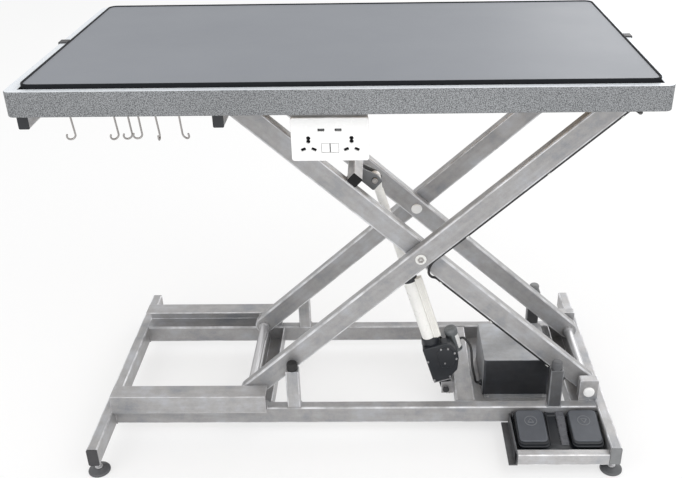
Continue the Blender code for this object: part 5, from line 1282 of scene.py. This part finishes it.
def build_barrel():
    """The barrel with its rail and collar."""
    inner, outer, low, high = 0.0135, 0.0168, 0.150, 0.322
    barrel = turned([(inner, low), (outer, low), (outer, high), (inner, high)], 56, closed=True)
    housed("outer_barrel", CREAM, [barrel], "actuator_tube")
    rib_low, rib_high = 0.1553, 0.3275
    rib_in, rib_out, rib_y0, rib_y1 = 0.0125, 0.0300, -0.0165, -0.0015
    section = filleted([(rib_in, rib_y0), (rib_out, rib_y0), (rib_out, rib_y1), (rib_in, rib_y1)], 0.003, 4)
    rib = prism("z", rib_low, rib_high, section, 0.0012, steps=3)
    bead = bar("z", rib_low, rib_high, 0.0190, 0.0235, -0.0176, -0.0160, 0.0006, 0.0004)
    # The rail is in the darker copy of the cream: painted shade.
    housed("barrel_rail", CREAM_RAIL_SHADE, [rib, bead])
    bore_r, collar_r, collar_low, collar_high = 0.0103, 0.0188, 0.3215, 0.334
    collar = softened([(bore_r, collar_low), (collar_r, collar_low), (collar_r, 0.331),
                       (0.0172, collar_high), (bore_r, collar_high)], 0.001)
    housed("barrel_collar", BLACK, [turned(collar, 56, closed=True)])


def build_motor():
    """The motor beside the barrel: can, end bell and blank label."""
    pose = ACT_POSE @ Matrix.Translation(MOTOR_AT)
    r = MOTOR_R
    skin = r - 0.0004
    can_low, can_high, bell_low, label_low, label_high = 0.0853, 0.1375, 0.1372, 0.094, 0.132
    can = softened([(0, can_low), (r, can_low), (r, 0.0885), (skin, 0.0890), (skin, can_high),
                    (0, can_high)], 0.0006)
    housed("motor_can", MOTOR, [turned(can, 56)], "actuator_motor", pose)
    bell = softened([(0, bell_low), (r, bell_low), (r, 0.1450), (r - 0.0030, 0.1500), (0.0070, 0.1515),
                     (0.0055, 0.1507), (0, 0.1507)], 0.0012, 3)
    housed("motor_end_bell", MOTOR_BELL, [turned(bell, 56)], (), pose)
    start, sweep = radians(297), radians(48)
    turns = [start + sweep * i / 24 for i in range(25)]
    sheet = [(skin * cos(t), skin * sin(t)) for t in turns]
    label_r = r - 0.0001
    sheet += [(label_r * cos(t), label_r * sin(t)) for t in reversed(turns)]
    housed("motor_label", LABEL, [prism("z", label_low, label_high, sheet, 0.00004)], (), pose)


def build_rod():
    """The lead screw, and the rod that runs over it with the eye at its end."""
    screw_r, rod_r, neck_r, bore_r, eye_r = 0.0062, 0.010, 0.009, 0.0068, 0.013
    screw_low, screw_high, eye_half, eye_bore, shank_half = 0.150, 0.295, 0.009, 0.0063, 0.008
    screw = softened([(0, screw_low), (screw_r, screw_low), (screw_r, screw_high), (0, screw_high)], 0.0006)
    housed("lead_screw", ZINC, [turned(screw, 24)], "actuator_screw")
    neck, open_end = ACT_LEN - eye_r, 0.322
    profile = softened([(0, neck - 0.030), (bore_r, neck - 0.030), (bore_r, open_end), (rod_r, open_end),
                        (rod_r, neck - 0.018), (neck_r, neck - 0.016), (neck_r, neck), (0, neck)], 0.0008)
    rod = turned(profile, 48)
    eye_end = [(eye_r * cos(pi * i / 20), ACT_LEN + eye_r * sin(pi * i / 20)) for i in range(21)]
    shank = neck - 0.017
    eye = prism("y", -eye_half, eye_half, [(shank_half, shank), *eye_end, (-shank_half, shank)], 0.0012,
                [circle(0, ACT_LEN, eye_bore)])
    piece("push_rod", CREAM, "actuator_rod", [moved(rod, ACT_POSE), moved(eye, ACT_POSE)], "actuator_rod")


def build_actuator():
    """The linear actuator that raises the table."""
    build_gear_case()
    build_barrel()
    build_motor()
    build_rod()


def rim_outline(gap):
    """The surround's outline so far inside its outer edge; the left lip stands out a little."""
    left = TOP_X0 + gap - (LEFT_LIP if gap < RIM / 2 else 0)
    return rounded(left, TOP_X1 - gap, gap - TOP_Y1, TOP_Y1 - gap, max(0.015 - gap, 0.0004), 8)


def build_top():
    """The top: sub-frame, surround, board, mat and rim clips."""
    build_subframe()
    wall = 0.0025
    section = [(0, FRAME_Z0), (RIM, FRAME_Z0), (RIM, FRAME_Z0 + wall), (wall, FRAME_Z0 + wall),
               (wall, FRAME_Z1 - wall), (RIM, FRAME_Z1 - wall), (RIM, FRAME_Z1), (0, FRAME_Z1)]
    surround = swept(filleted(section, 0.0020, 3), rim_outline)
    made = piece("top_surround", [HAMMER, RIM_HIGHLIGHT], "top", [surround], "top_frame")
    # The surround's top faces take the near-white copy of the hammer paint: painted highlight.
    for face in made.data.polygons:
        if face.normal.z > 0.8 and face.center.z > FRAME_Z1 - 0.001:
            face.material_index = 1
    x0, x1, y1, corner = TOP_X0 + RIM + GAP, TOP_X1 - RIM - GAP, TOP_Y1 - RIM - GAP, 0.020
    board_z0 = FRAME_Z0 + 0.0256
    board_z1 = board_z0 + 0.0184
    board = prism("z", board_z0, board_z1, rounded(x0, x1, -y1, y1, corner, 8), 0.0006)
    piece("deck_panel", PLY, "top", [board], "deck_board")
    low, high = board_z1 + GAP, board_z1 + GAP + 0.012
    surface = high - 0.0022
    mat = stacked("z", rounded(x0, x1, -y1, y1, corner, 10),
                  [(0, low), (0, high - 0.0020), (0.0006, high - 0.0006), (0.0016, high),
                   (0.0030, high - 0.0002), (0.0042, high - 0.0009), (0.0050, surface)])
    made = piece("grooming_mat", [MAT, MAT_EDGE], "top", [mat], "rubber_mat")
    for face in made.data.polygons:
        if face.area < 0.1 or face.center.z < surface - 0.00001:
            face.material_index = 1
    clips = []
    clip_low, clip_high = FRAME_Z1 - 0.012, FRAME_Z1 + 0.0026
    for side, edge in ((-1, TOP_X0 - LEFT_LIP), (1, TOP_X1)):
        outside, inside, touching = edge + side * 0.0022, edge - side * 0.0165, edge + side * 0.0003
        section = [(outside, clip_low), (outside, clip_high), (inside, clip_high),
                   (inside, FRAME_Z1 + GAP), (touching, FRAME_Z1 + GAP), (touching, clip_low)]
        clips.append(prism("y", -0.0015, 0.0215, filleted(section, 0.0009, 4), 0.0008))
    piece("rim_clips", CAP, "top", clips)


def build_upper_tubes():
    """The long tubes under the top with their rails and end pieces; gives back the weld lines."""
    welds = []
    for name, side in (("front", -1), ("rear", 1)):
        y0, y1 = sorted((side * LONG_IN, side * LONG_OUT))
        solids = [bar("x", UPPER_TUBE_X0, UPPER_TUBE_X1 - GAP, y0, y1, UPPER_TUBE_Z0, UPPER_TUBE_Z1 - GAP,
                      TUBE_CORNER),
                  rail(side, LONG_IN - UPPER_RAIL_W, LONG_IN, UPPER_Z - RAIL_H / 2, UPPER_TUBE_X0 + GAP,
                       RAIL_X1)]
        if side < 0:
            solids.append(bar("y", 0.001 - STUB_Y, 0.001 - LONG_OUT, STUB_X0, STUB_X1, STUB_Z0, STUB_Z1,
                              0.0025))
            welds += [[(x, -LONG_OUT, STUB_Z0), (x, -LONG_OUT, UPPER_TUBE_Z1)]
                      for x in (STUB_X0, STUB_X1)]
        else:
            solids.append(bar("x", UPPER_TUBE_X1, TOP_X1, -LONG_OUT, LONG_OUT + GAP, UPPER_TUBE_Z0 - GAP,
                              UPPER_TUBE_Z1, 0.002))
        piece("upper_long_tube_" + name, PAINT, "top", solids, "upper_tube_" + name)
        welds += [[(UPPER_TUBE_X1, side * y, UPPER_TUBE_Z0), (UPPER_TUBE_X1, side * y, UPPER_TUBE_Z1)]
                  for y in (LONG_IN, LONG_OUT)]
    return welds


def build_hook_bar():
    """The round bar that the hooks hang on."""
    bar_r, lap = 0.0037, 0.001
    rod = prism("x", UPPER_TUBE_X0 - lap, STUB_X0 + lap, circle(HOOK_BAR_Y, HOOK_BAR_Z, bar_r, 28), 0.0004)
    piece("hook_rail", ZINC, "top", [rod])


def build_bearers():
    """The left cross tube and the bearers that carry the deck, the right one with its pivot blocks."""
    half, lap, stub_in = 0.0125, 0.001, 0.0015
    block_in, block_out, block_drop = 0.1026, 0.1276, 0.023
    bearer_z1 = FRAME_Z0 + GAP + 0.025
    bearers = {}
    for name, x in (("left", TOP_X0 + RIM + GAP + half), ("middle", MIDDLE_BEARER_X), ("right", PIVOT_X)):
        bearers[name] = bar("y", RIM + GAP - TOP_Y1, TOP_Y1 - RIM - GAP, x - half, x + half,
                            UPPER_TUBE_Z1, bearer_z1, 0.003)
    cross = bar("y", stub_in - STUB_Y, STUB_Y - stub_in, STUB_LEFT_X - STUB_W / 2,
                STUB_LEFT_X + STUB_W / 2, STUB_Z0, UPPER_TUBE_Z1 + lap, 0.0025)
    piece("left_cross_tube", PAINT_CROSS_LIT, "top", [bearers["left"], cross], "upper_cross_tube")
    piece("middle_bearer", PAINT_CROSS_LIT, "top", [bearers["middle"]], "deck_bearer")
    blocks = [pivot_block(sorted((side * block_out, side * block_in)), UPPER_Z - block_drop,
                          UPPER_TUBE_Z1 + lap, UPPER_Z) for side in (-1, 1)]
    piece("right_bearer", PAINT_CROSS_LIT, "top", [bearers["right"], *blocks], "pivot_bearer")


def build_stub_plugs():
    """The plugs in the open ends of the left cross tube and the right stub."""
    brim, inside, outside = 0.0003, STUB_Y - 0.002, STUB_Y + 0.0012
    ends = [(STUB_LEFT_X, -1), (STUB_LEFT_X, 1), (STUB_RIGHT_X, -1)]
    plugs = [bar("y", *sorted((side * inside, side * outside)), x - STUB_W / 2 - brim,
                 x + STUB_W / 2 + brim, STUB_Z0 - brim, STUB_Z1, 0.0025, 0.0009) for x, side in ends]
    piece("stub_plugs", BLACK, "top", plugs)


def build_subframe():
    """Tubes, rails, end pieces, bearers and hook bar under the top."""
    welds = build_upper_tubes()
    build_hook_bar()
    build_bearers()
    build_stub_plugs()
    WELDS.grow("top_welds", lines_mesh(*welds), PAINT, "top", Bead_radius=0.0017)


HOOK_XS = [STUB_LEFT_X + along for along in (0.0860, 0.1675, 0.1935, 0.2125, 0.2445, 0.2885)]
HOOK_YAWS = (-60.0, -50.0, -62.0, -70.0, 5.0, 60.0)


def hung(points, like):
    """Points turned about the bar so that the weight of a wire hangs straight below it."""
    weight = Vector((0, 0, 0))
    for start, end in zip(like, like[1:]):
        weight += (start + end) / 2 * (end - start).length
    lean = Matrix.Rotation(-pi / 2 - atan2(weight.z, weight.y), 3, "X")
    return [lean @ point for point in points]


def hook_points(yaw, step):
    """The line of one wire hook about the bar's axis."""
    top, foot = 0.004 + 0.0015 + GAP, 0.008
    crown = [Vector((0, top * cos(radians(a)), top * sin(radians(a)))) for a in range(-30, 181, step)]
    turn = Matrix.Rotation(radians(yaw), 3, "Z")
    stem_end = Vector((0, -top, -0.0413))
    bend = [stem_end + turn @ Vector((0, foot * (cos(radians(a)) - 1), -foot * sin(radians(a))))
            for a in range(0, 211, step)]
    return crown + bend


def build_hooks():
    """Six wire hooks that hang on the bar."""
    for number, (x, yaw) in enumerate(zip(HOOK_XS, HOOK_YAWS), 1):
        points = hung(hook_points(yaw, 10), hook_points(yaw, 30))
        axis = Vector((x, HOOK_BAR_Y, HOOK_BAR_Z))
        body = "hook_%d" % number
        piece("wire_" + body, HOOK_STEEL, body, [wire([axis + point for point in points], 0.0018, 14)],
              body)


def keyhole(x, z, radius, apart):
    """The outline of two round holes run together, one above the other."""
    dip = asin(apart / radius)
    upper = [-dip + (pi + 2 * dip) * i / 16 for i in range(17)]
    ring = [(x + radius * cos(t), z + apart + radius * sin(t)) for t in upper]
    return ring + [(x - radius * cos(t), z - apart - radius * sin(t)) for t in upper[1:-1]]


def slanted(x, z, wide, tall, turn, radius):
    """A rounded opening turned about its middle."""
    points = rounded(-wide / 2, wide / 2, -tall / 2, tall / 2, radius, 3)
    return [(x + a * cos(turn) - b * sin(turn), z + a * sin(turn) + b * cos(turn)) for a, b in points]


def build_socket():
    """The double wall socket: plate, outlets, ports, rockers and the box behind."""
    half, back = SOCKET_HALF_W, SOCKET_Y + SOCKET_T
    low, port_z, rocker_z = SOCKET_Z0 + 0.0235, SOCKET_Z0 + 0.062, SOCKET_Z0 + 0.026
    slot_out, slot_w, slot_h, slot_lean = 0.0100, 0.0100, 0.0062, radians(-24)
    port_half_w, port_half_h, tongue_half, well_half_h, case_d = 0.0064, 0.0028, 0.0045, 0.0096, 0.042
    holes, tongues, shadows = [], [], []
    for side in (-1, 1):
        outlet, port = SOCKET_X + side * OUTLET_OUT, SOCKET_X + side * PORT_OUT
        holes.append(keyhole(outlet, low + 0.0190, 0.0041, 0.0033))
        holes += [slanted(outlet + way * slot_out, low, slot_w, slot_h, way * slot_lean, 0.0016)
                  for way in (-1, 1)]
        holes.append(rounded(port - port_half_w, port + port_half_w, port_z - port_half_h,
                             port_z + port_half_h, 0.0006, 3))
        tongues.append(bar("y", SOCKET_Y + 0.0030, SOCKET_Y + 0.0042, port - tongue_half,
                           port + tongue_half, port_z - 0.0009, port_z + 0.0003, 0.0002, 0.0001))
        # A near-black bar behind each outlet and port stands for the shade inside the socket: painted
        # shadow.
        for x, half_wide, z_low, z_high in ((outlet, 0.0185, 0.015, 0.0555),
                                            (port, 0.009, 0.0572, 0.067)):
            shadows.append(bar("y", SOCKET_Y + 0.0045, back - 0.0002, x - half_wide, x + half_wide,
                               SOCKET_Z0 + z_low, SOCKET_Z0 + z_high, 0.002, 0.0003))
    well = ROCKER_OUT + ROCKER_HALF_W + GAP
    well_z0, well_z1 = rocker_z - well_half_h, rocker_z + well_half_h
    holes.append(rounded(SOCKET_X - well, SOCKET_X + well, well_z0, well_z1, 0.0008, 3))
    outline = rounded(SOCKET_X - half, SOCKET_X + half, SOCKET_Z0, SOCKET_Z1, 0.005, 6)
    piece("outlet_plate", WHITE, "top", [prism("y", SOCKET_Y, back, outline, 0.002, holes, steps=4)],
          "socket_plate")
    piece("outlet_shadow", PAINTED_SHADOW, "top", shadows)
    piece("port_tongues", GREY_CAP, "top", tongues)
    case = bar("y", back + GAP, back + GAP + case_d, SOCKET_X - half + SOCKET_BOX_IN,
               SOCKET_X + half - SOCKET_BOX_IN, SOCKET_Z0 + SOCKET_BOX_IN, UPPER_TUBE_Z1 - GAP, 0.003,
               0.0012)
    piece("outlet_box", BOX_GREY, "top", [case], "socket_box")
    tall, wide = 0.009 - GAP, ROCKER_HALF_W - 0.0003
    profile = filleted([(-0.0022, -tall), (-0.0011, 0), (-0.0022, tall), (0.005, tall), (0.005, -tall)],
                       0.0006, 4)
    for name, side in (("left", -1), ("right", 1)):
        hinge = at(SOCKET_X + side * ROCKER_OUT, SOCKET_Y + 0.0025, rocker_z)
        tilted = hinge @ Matrix.Rotation(radians(5.0), 4, "X")
        key = moved(prism("x", -wide, wide, profile, 0.0006), tilted)
        piece("rocker_" + name, WHITE, "socket_switch_" + name, [key], "socket_switch_" + name)


def under_arm(pose, y, u):
    """A point on the cable's line under an arm's lower edge."""
    return pose @ Vector((u, y, -ARM_H / 2 - GAP - CABLE_R))


def lead(name, route, node):
    """A lead along its route, on no body, with its place baked into its mesh."""
    made = piece(name, SHEATH, None, [wire(route, CABLE_R, 14)], node)
    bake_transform(made)


# The cable under the front arms: its line across each arm, its ends along it, and its clips
CABLE_OUTER_Y = -OUTER_Y - ARM_T / 6
CABLE_INNER_Y = -INNER_Y - ARM_T / 6
OUTER_RUN = [under_arm(OUTER_POSE, CABLE_OUTER_Y, along) for along in (0.100, 0.530)]
INNER_RUN = [under_arm(INNER_POSE, CABLE_INNER_Y, along) for along in (0.085, 0.480)]
CLIP_ROWS = (("outer_arms", OUTER_POSE, CABLE_OUTER_Y, (0.110, 0.330, 0.515)),
             ("inner_arms", INNER_POSE, CABLE_INNER_Y, (0.090, 0.250, 0.440)))


def build_outer_arm_cable():
    """The cable's straight run under the front outer arm."""
    route = smooth_route(OUTER_RUN, 0.02)
    made = piece("outer_arm_cable", SHEATH, "outer_arms", [wire(route, CABLE_R, 14)], "cable_outer_arm")


def build_inner_arm_cable():
    """The cable's loop at the centre bolt and its run under the front inner arm."""
    r = CABLE_R
    (start, end), (first, last) = OUTER_RUN, INNER_RUN
    back, along = (start - end).normalized(), (last - first).normalized()
    loop = [Vector((CENTRE.x + x, CABLE_OUTER_Y + y * r, CENTRE.z + z))
            for x, y, z in ((0.0530, 0.5, 0.0110), (0.0222, 1.2, -0.0220), (0.0187, 2.8, -0.0420),
                            (0.0262, 6.9, -0.0611))]
    route = [start + back * GAP, start + back * 5 * r, *loop, first - along * 3 * r, first]
    route = smooth_route(route, 0.004)[:-1] + smooth_route([first, last], 0.01)
    lead("inner_arm_cable", route, "cable_inner_arm")


def build_control_lead():
    """The last piece of the cable, from the inner arm to the control box."""
    r = CABLE_R
    first, last = INNER_RUN
    along = (last - first).normalized()
    tip = Vector((BOX_X1 + GLAND_L + GAP, *CABLE_ENTRY))
    aside = Vector((0, CABLE_INNER_Y + 6 * r - tip.y, 0))
    route = smooth_route([last + along * GAP, last + along * 4 * r,
                          tip + Vector((8.3, 0, 7)) * r + aside, tip + Vector((5.5, -4.5, 0.3)) * r,
                          tip + Vector((2, 0, 0)) * r, tip], 0.004)
    lead("control_lead", route, "cable_to_control")


def build_socket_lead():
    """The lead from the outer arm along the front tube to the socket's box."""
    r = CABLE_R
    start, end = OUTER_RUN
    along = (end - start).normalized()
    beside = -LONG_OUT - GAP - r
    run_z = UPPER_TUBE_Z0 + UPPER_TUBE_H * 0.7
    box_side = SOCKET_X + SOCKET_HALF_W - SOCKET_BOX_IN + GAP
    down, near = Vector((end.x, beside, UPPER_TUBE_Z0)), Vector((end.x, beside, run_z))
    far = Vector((box_side, beside, run_z))
    entry = Vector((box_side, SOCKET_Y + 0.0313, run_z))
    route = smooth_route([end + along * GAP, end + along * 2 * r, down + Vector((4.3, 10, -3.4)) * r,
                          down + Vector((5.3, 5, -3.4)) * r, down + Vector((4.3, 0, -0.5)) * r,
                          near + Vector((-2, -0.4, -2.5)) * r, near + Vector((-12, -0.2, 0)) * r,
                          near - Vector((30, 0, 0)) * r, near - Vector((50, 0, 0)) * r,
                          far + Vector((47, 0, 0)) * r, far + Vector((33, 0, 0)) * r,
                          far + Vector((23, -0.4, 0)) * r, entry + Vector((10, 5.7, 0)) * r,
                          entry + Vector((3, 0, 0)) * r, entry + Vector((GAP, 0, 0))], 0.006)
    lead("socket_lead", route, "cable_under_top")


def build_motor_lead():
    """The lead from the motor to the control box."""
    r = CABLE_R
    out = ACT_POSE @ (MOTOR_AT + Vector((MOTOR_R + GAP, 0, 0.112)))
    away = ACT_POSE.to_3x3() @ Vector((1, 0, 0))
    tip = Vector((BOX_X0 - GLAND_L - GAP, *MOTOR_ENTRY))
    tie_edge = Vector((TIE_MID_X + TIE_W / 2, *MOTOR_ENTRY))
    route = smooth_route([out, out + away * 2 * r, out + away * 5.3 * r + Vector((1.3, -2, -4)) * r,
                          tie_edge + Vector((0.3, 2, 15)) * r, tie_edge + Vector((2, 0.3, 7.3)) * r,
                          tip - Vector((r, 0, 0)), tip], 0.003)
    lead("actuator_lead", route, "motor_lead")


def build_cable_clips():
    """The clips that hold the cable under the front arms."""
    for body, pose, y, steps in CLIP_ROWS:
        out = pose.to_3x3() @ Vector((0, 0, -1))
        along = pose.to_3x3() @ Vector((1, 0, 0))
        seeds = [under_arm(pose, y, u) for u in steps]
        places = points_mesh(seeds, facing=[out] * len(seeds), along=[along] * len(seeds))
        CLIPS.grow("cable_clips_" + body, places, NYLON, body)


def build_leads():
    """The cable clipped under the front arms and the leads between arms, top, motor and control box."""
    build_outer_arm_cable()
    build_inner_arm_cable()
    build_control_lead()
    build_socket_lead()
    build_motor_lead()
    build_cable_clips()


# The studio. A lamp has a name, a place, an aim, a size in metres and a power in watts.
FLOOR_CORNERS = [(-12, -8, 0), (12, -8, 0), (12, 14, 0), (-12, 14, 0)]
FLOOR_COLOUR = (0.92, 0.92, 0.92, 1.0)
FLOOR_LIFT = 0.6
BACKDROP_LIGHT = 0.85
BACKDROP_SEEN = 0.965
LAMPS = (("key", (2.1, -1.9, 2.7), (0.2, 0, 0.6), 2.6, 33.0),
         ("fill", (-2.4, -2.4, 2.6), (0, 0, 0.4), 2.4, 26.0),
         ("low_front", (0.4, -3.2, 0.9), (0.1, 0, 0.3), 2.4, 15.5),
         ("back_right", (2.5, 3.6, 2.4), (0.5, 0, 0.9), 3.2, 58.0))
PHOTO_PX = (682, 478)
OPTICAL_CENTRE_PX = (369.93, 246.66)
FOCAL_PX = 864.22
SENSOR_MM = 36.0
CAMERA_AT = (0.0734, -1.8072, 1.4005)
CAMERA_TURN = (radians(-1.085), radians(28.548), radians(0.926))


def looked_at(nodes, links):
    """1 where a surface is seen straight, in a reflection or through glass, 0 where it only gives light."""
    path = nodes.new("ShaderNodeLightPath")
    seen = path.outputs["Is Camera Ray"]
    for kind in ("Is Glossy Ray", "Is Transmission Ray"):
        either = nodes.new("ShaderNodeMath")
        either.operation = "MAXIMUM"
        links.new(seen, either.inputs[0])
        links.new(path.outputs[kind], either.inputs[1])
        seen = either.outputs[0]
    return seen


def build_floor():
    """A white floor that keeps the shadow and is lifted towards white where it is looked at."""
    mesh = bpy.data.meshes.new("floor")
    mesh.from_pydata(FLOOR_CORNERS, [], [(0, 1, 2, 3)])
    floor = bpy.data.objects.new("floor", mesh)
    bpy.context.scene.collection.objects.link(floor)
    surface = Finish("floor_white", "white", 0.9, Specular_IOR_Level=0.0)
    surface.shader.inputs["Base Color"].default_value = FLOOR_COLOUR
    white = surface.nodes.new("ShaderNodeEmission")
    lifted = surface.nodes.new("ShaderNodeMixShader")
    share = surface.nodes.new("ShaderNodeMath")
    share.operation = "MULTIPLY"
    share.inputs[1].default_value = FLOOR_LIFT
    surface.links.new(looked_at(surface.nodes, surface.links), share.inputs[0])
    for source, socket in ((share.outputs[0], 0), (surface.shader.outputs[0], 1), (white.outputs[0], 2)):
        surface.links.new(source, lifted.inputs[socket])
    surface.links.new(lifted.outputs[0], surface.nodes["Material Output"].inputs["Surface"])
    floor.data.materials.append(surface.material)


def build_backdrop():
    """A white surrounding that gives a little less light than it shows."""
    world = bpy.data.worlds.new("studio")
    bpy.context.scene.world = world
    world.use_nodes = True
    nodes, links = world.node_tree.nodes, world.node_tree.links
    background = nodes["Background"]
    level = nodes.new("ShaderNodeMapRange")
    level.inputs["To Min"].default_value = BACKDROP_LIGHT
    level.inputs["To Max"].default_value = BACKDROP_SEEN
    links.new(looked_at(nodes, links), level.inputs["Value"])
    links.new(level.outputs[0], background.inputs["Strength"])
    background.inputs["Color"].default_value = (1, 1, 1, 1)


def build_lamps():
    """Soft square lamps, each turned to its aim."""
    for name, place, aim, size, power in LAMPS:
        lamp = bpy.data.lights.new(name, "AREA")
        lamp.size = size
        lamp.energy = power
        item = bpy.data.objects.new(name, lamp)
        item.location = place
        item.rotation_euler = (Vector(aim) - Vector(place)).to_track_quat("-Z", "Y").to_euler()
        bpy.context.scene.collection.objects.link(item)


def build_camera():
    """The camera at the photograph's viewpoint."""
    yaw, pitch, roll = CAMERA_TURN
    ahead = Vector((sin(yaw) * cos(pitch), cos(yaw) * cos(pitch), -sin(pitch)))
    right = Vector((cos(yaw), -sin(yaw), 0))
    down = ahead.cross(right)
    right, down = right * cos(roll) + down * sin(roll), down * cos(roll) - right * sin(roll)
    wide, tall = PHOTO_PX
    centre_x, centre_y = OPTICAL_CENTRE_PX
    data = bpy.data.cameras.new("camera")
    data.sensor_width = SENSOR_MM
    data.lens = SENSOR_MM * FOCAL_PX / wide
    data.shift_x = -(centre_x - wide / 2) / wide
    data.shift_y = (centre_y - tall / 2) / wide
    camera = bpy.data.objects.new("camera", data)
    turn = Matrix((right, -down, -ahead)).transposed().to_4x4()
    camera.matrix_world = Matrix.Translation(CAMERA_AT) @ turn
    bpy.context.scene.collection.objects.link(camera)
    bpy.context.scene.camera = camera


def build_studio():
    """White floor and surrounding, soft lamps and the camera."""
    bpy.context.scene.view_settings.view_transform = "Standard"
    build_floor()
    build_backdrop()
    build_lamps()
    build_camera()


build_base()
build_fork_pin()
build_feet()
build_control_box()
build_tray()
build_foot_switch()
build_scissor()
build_clevis()
build_actuator()
build_top()
build_hooks()
build_socket()
build_leads()
build_studio()
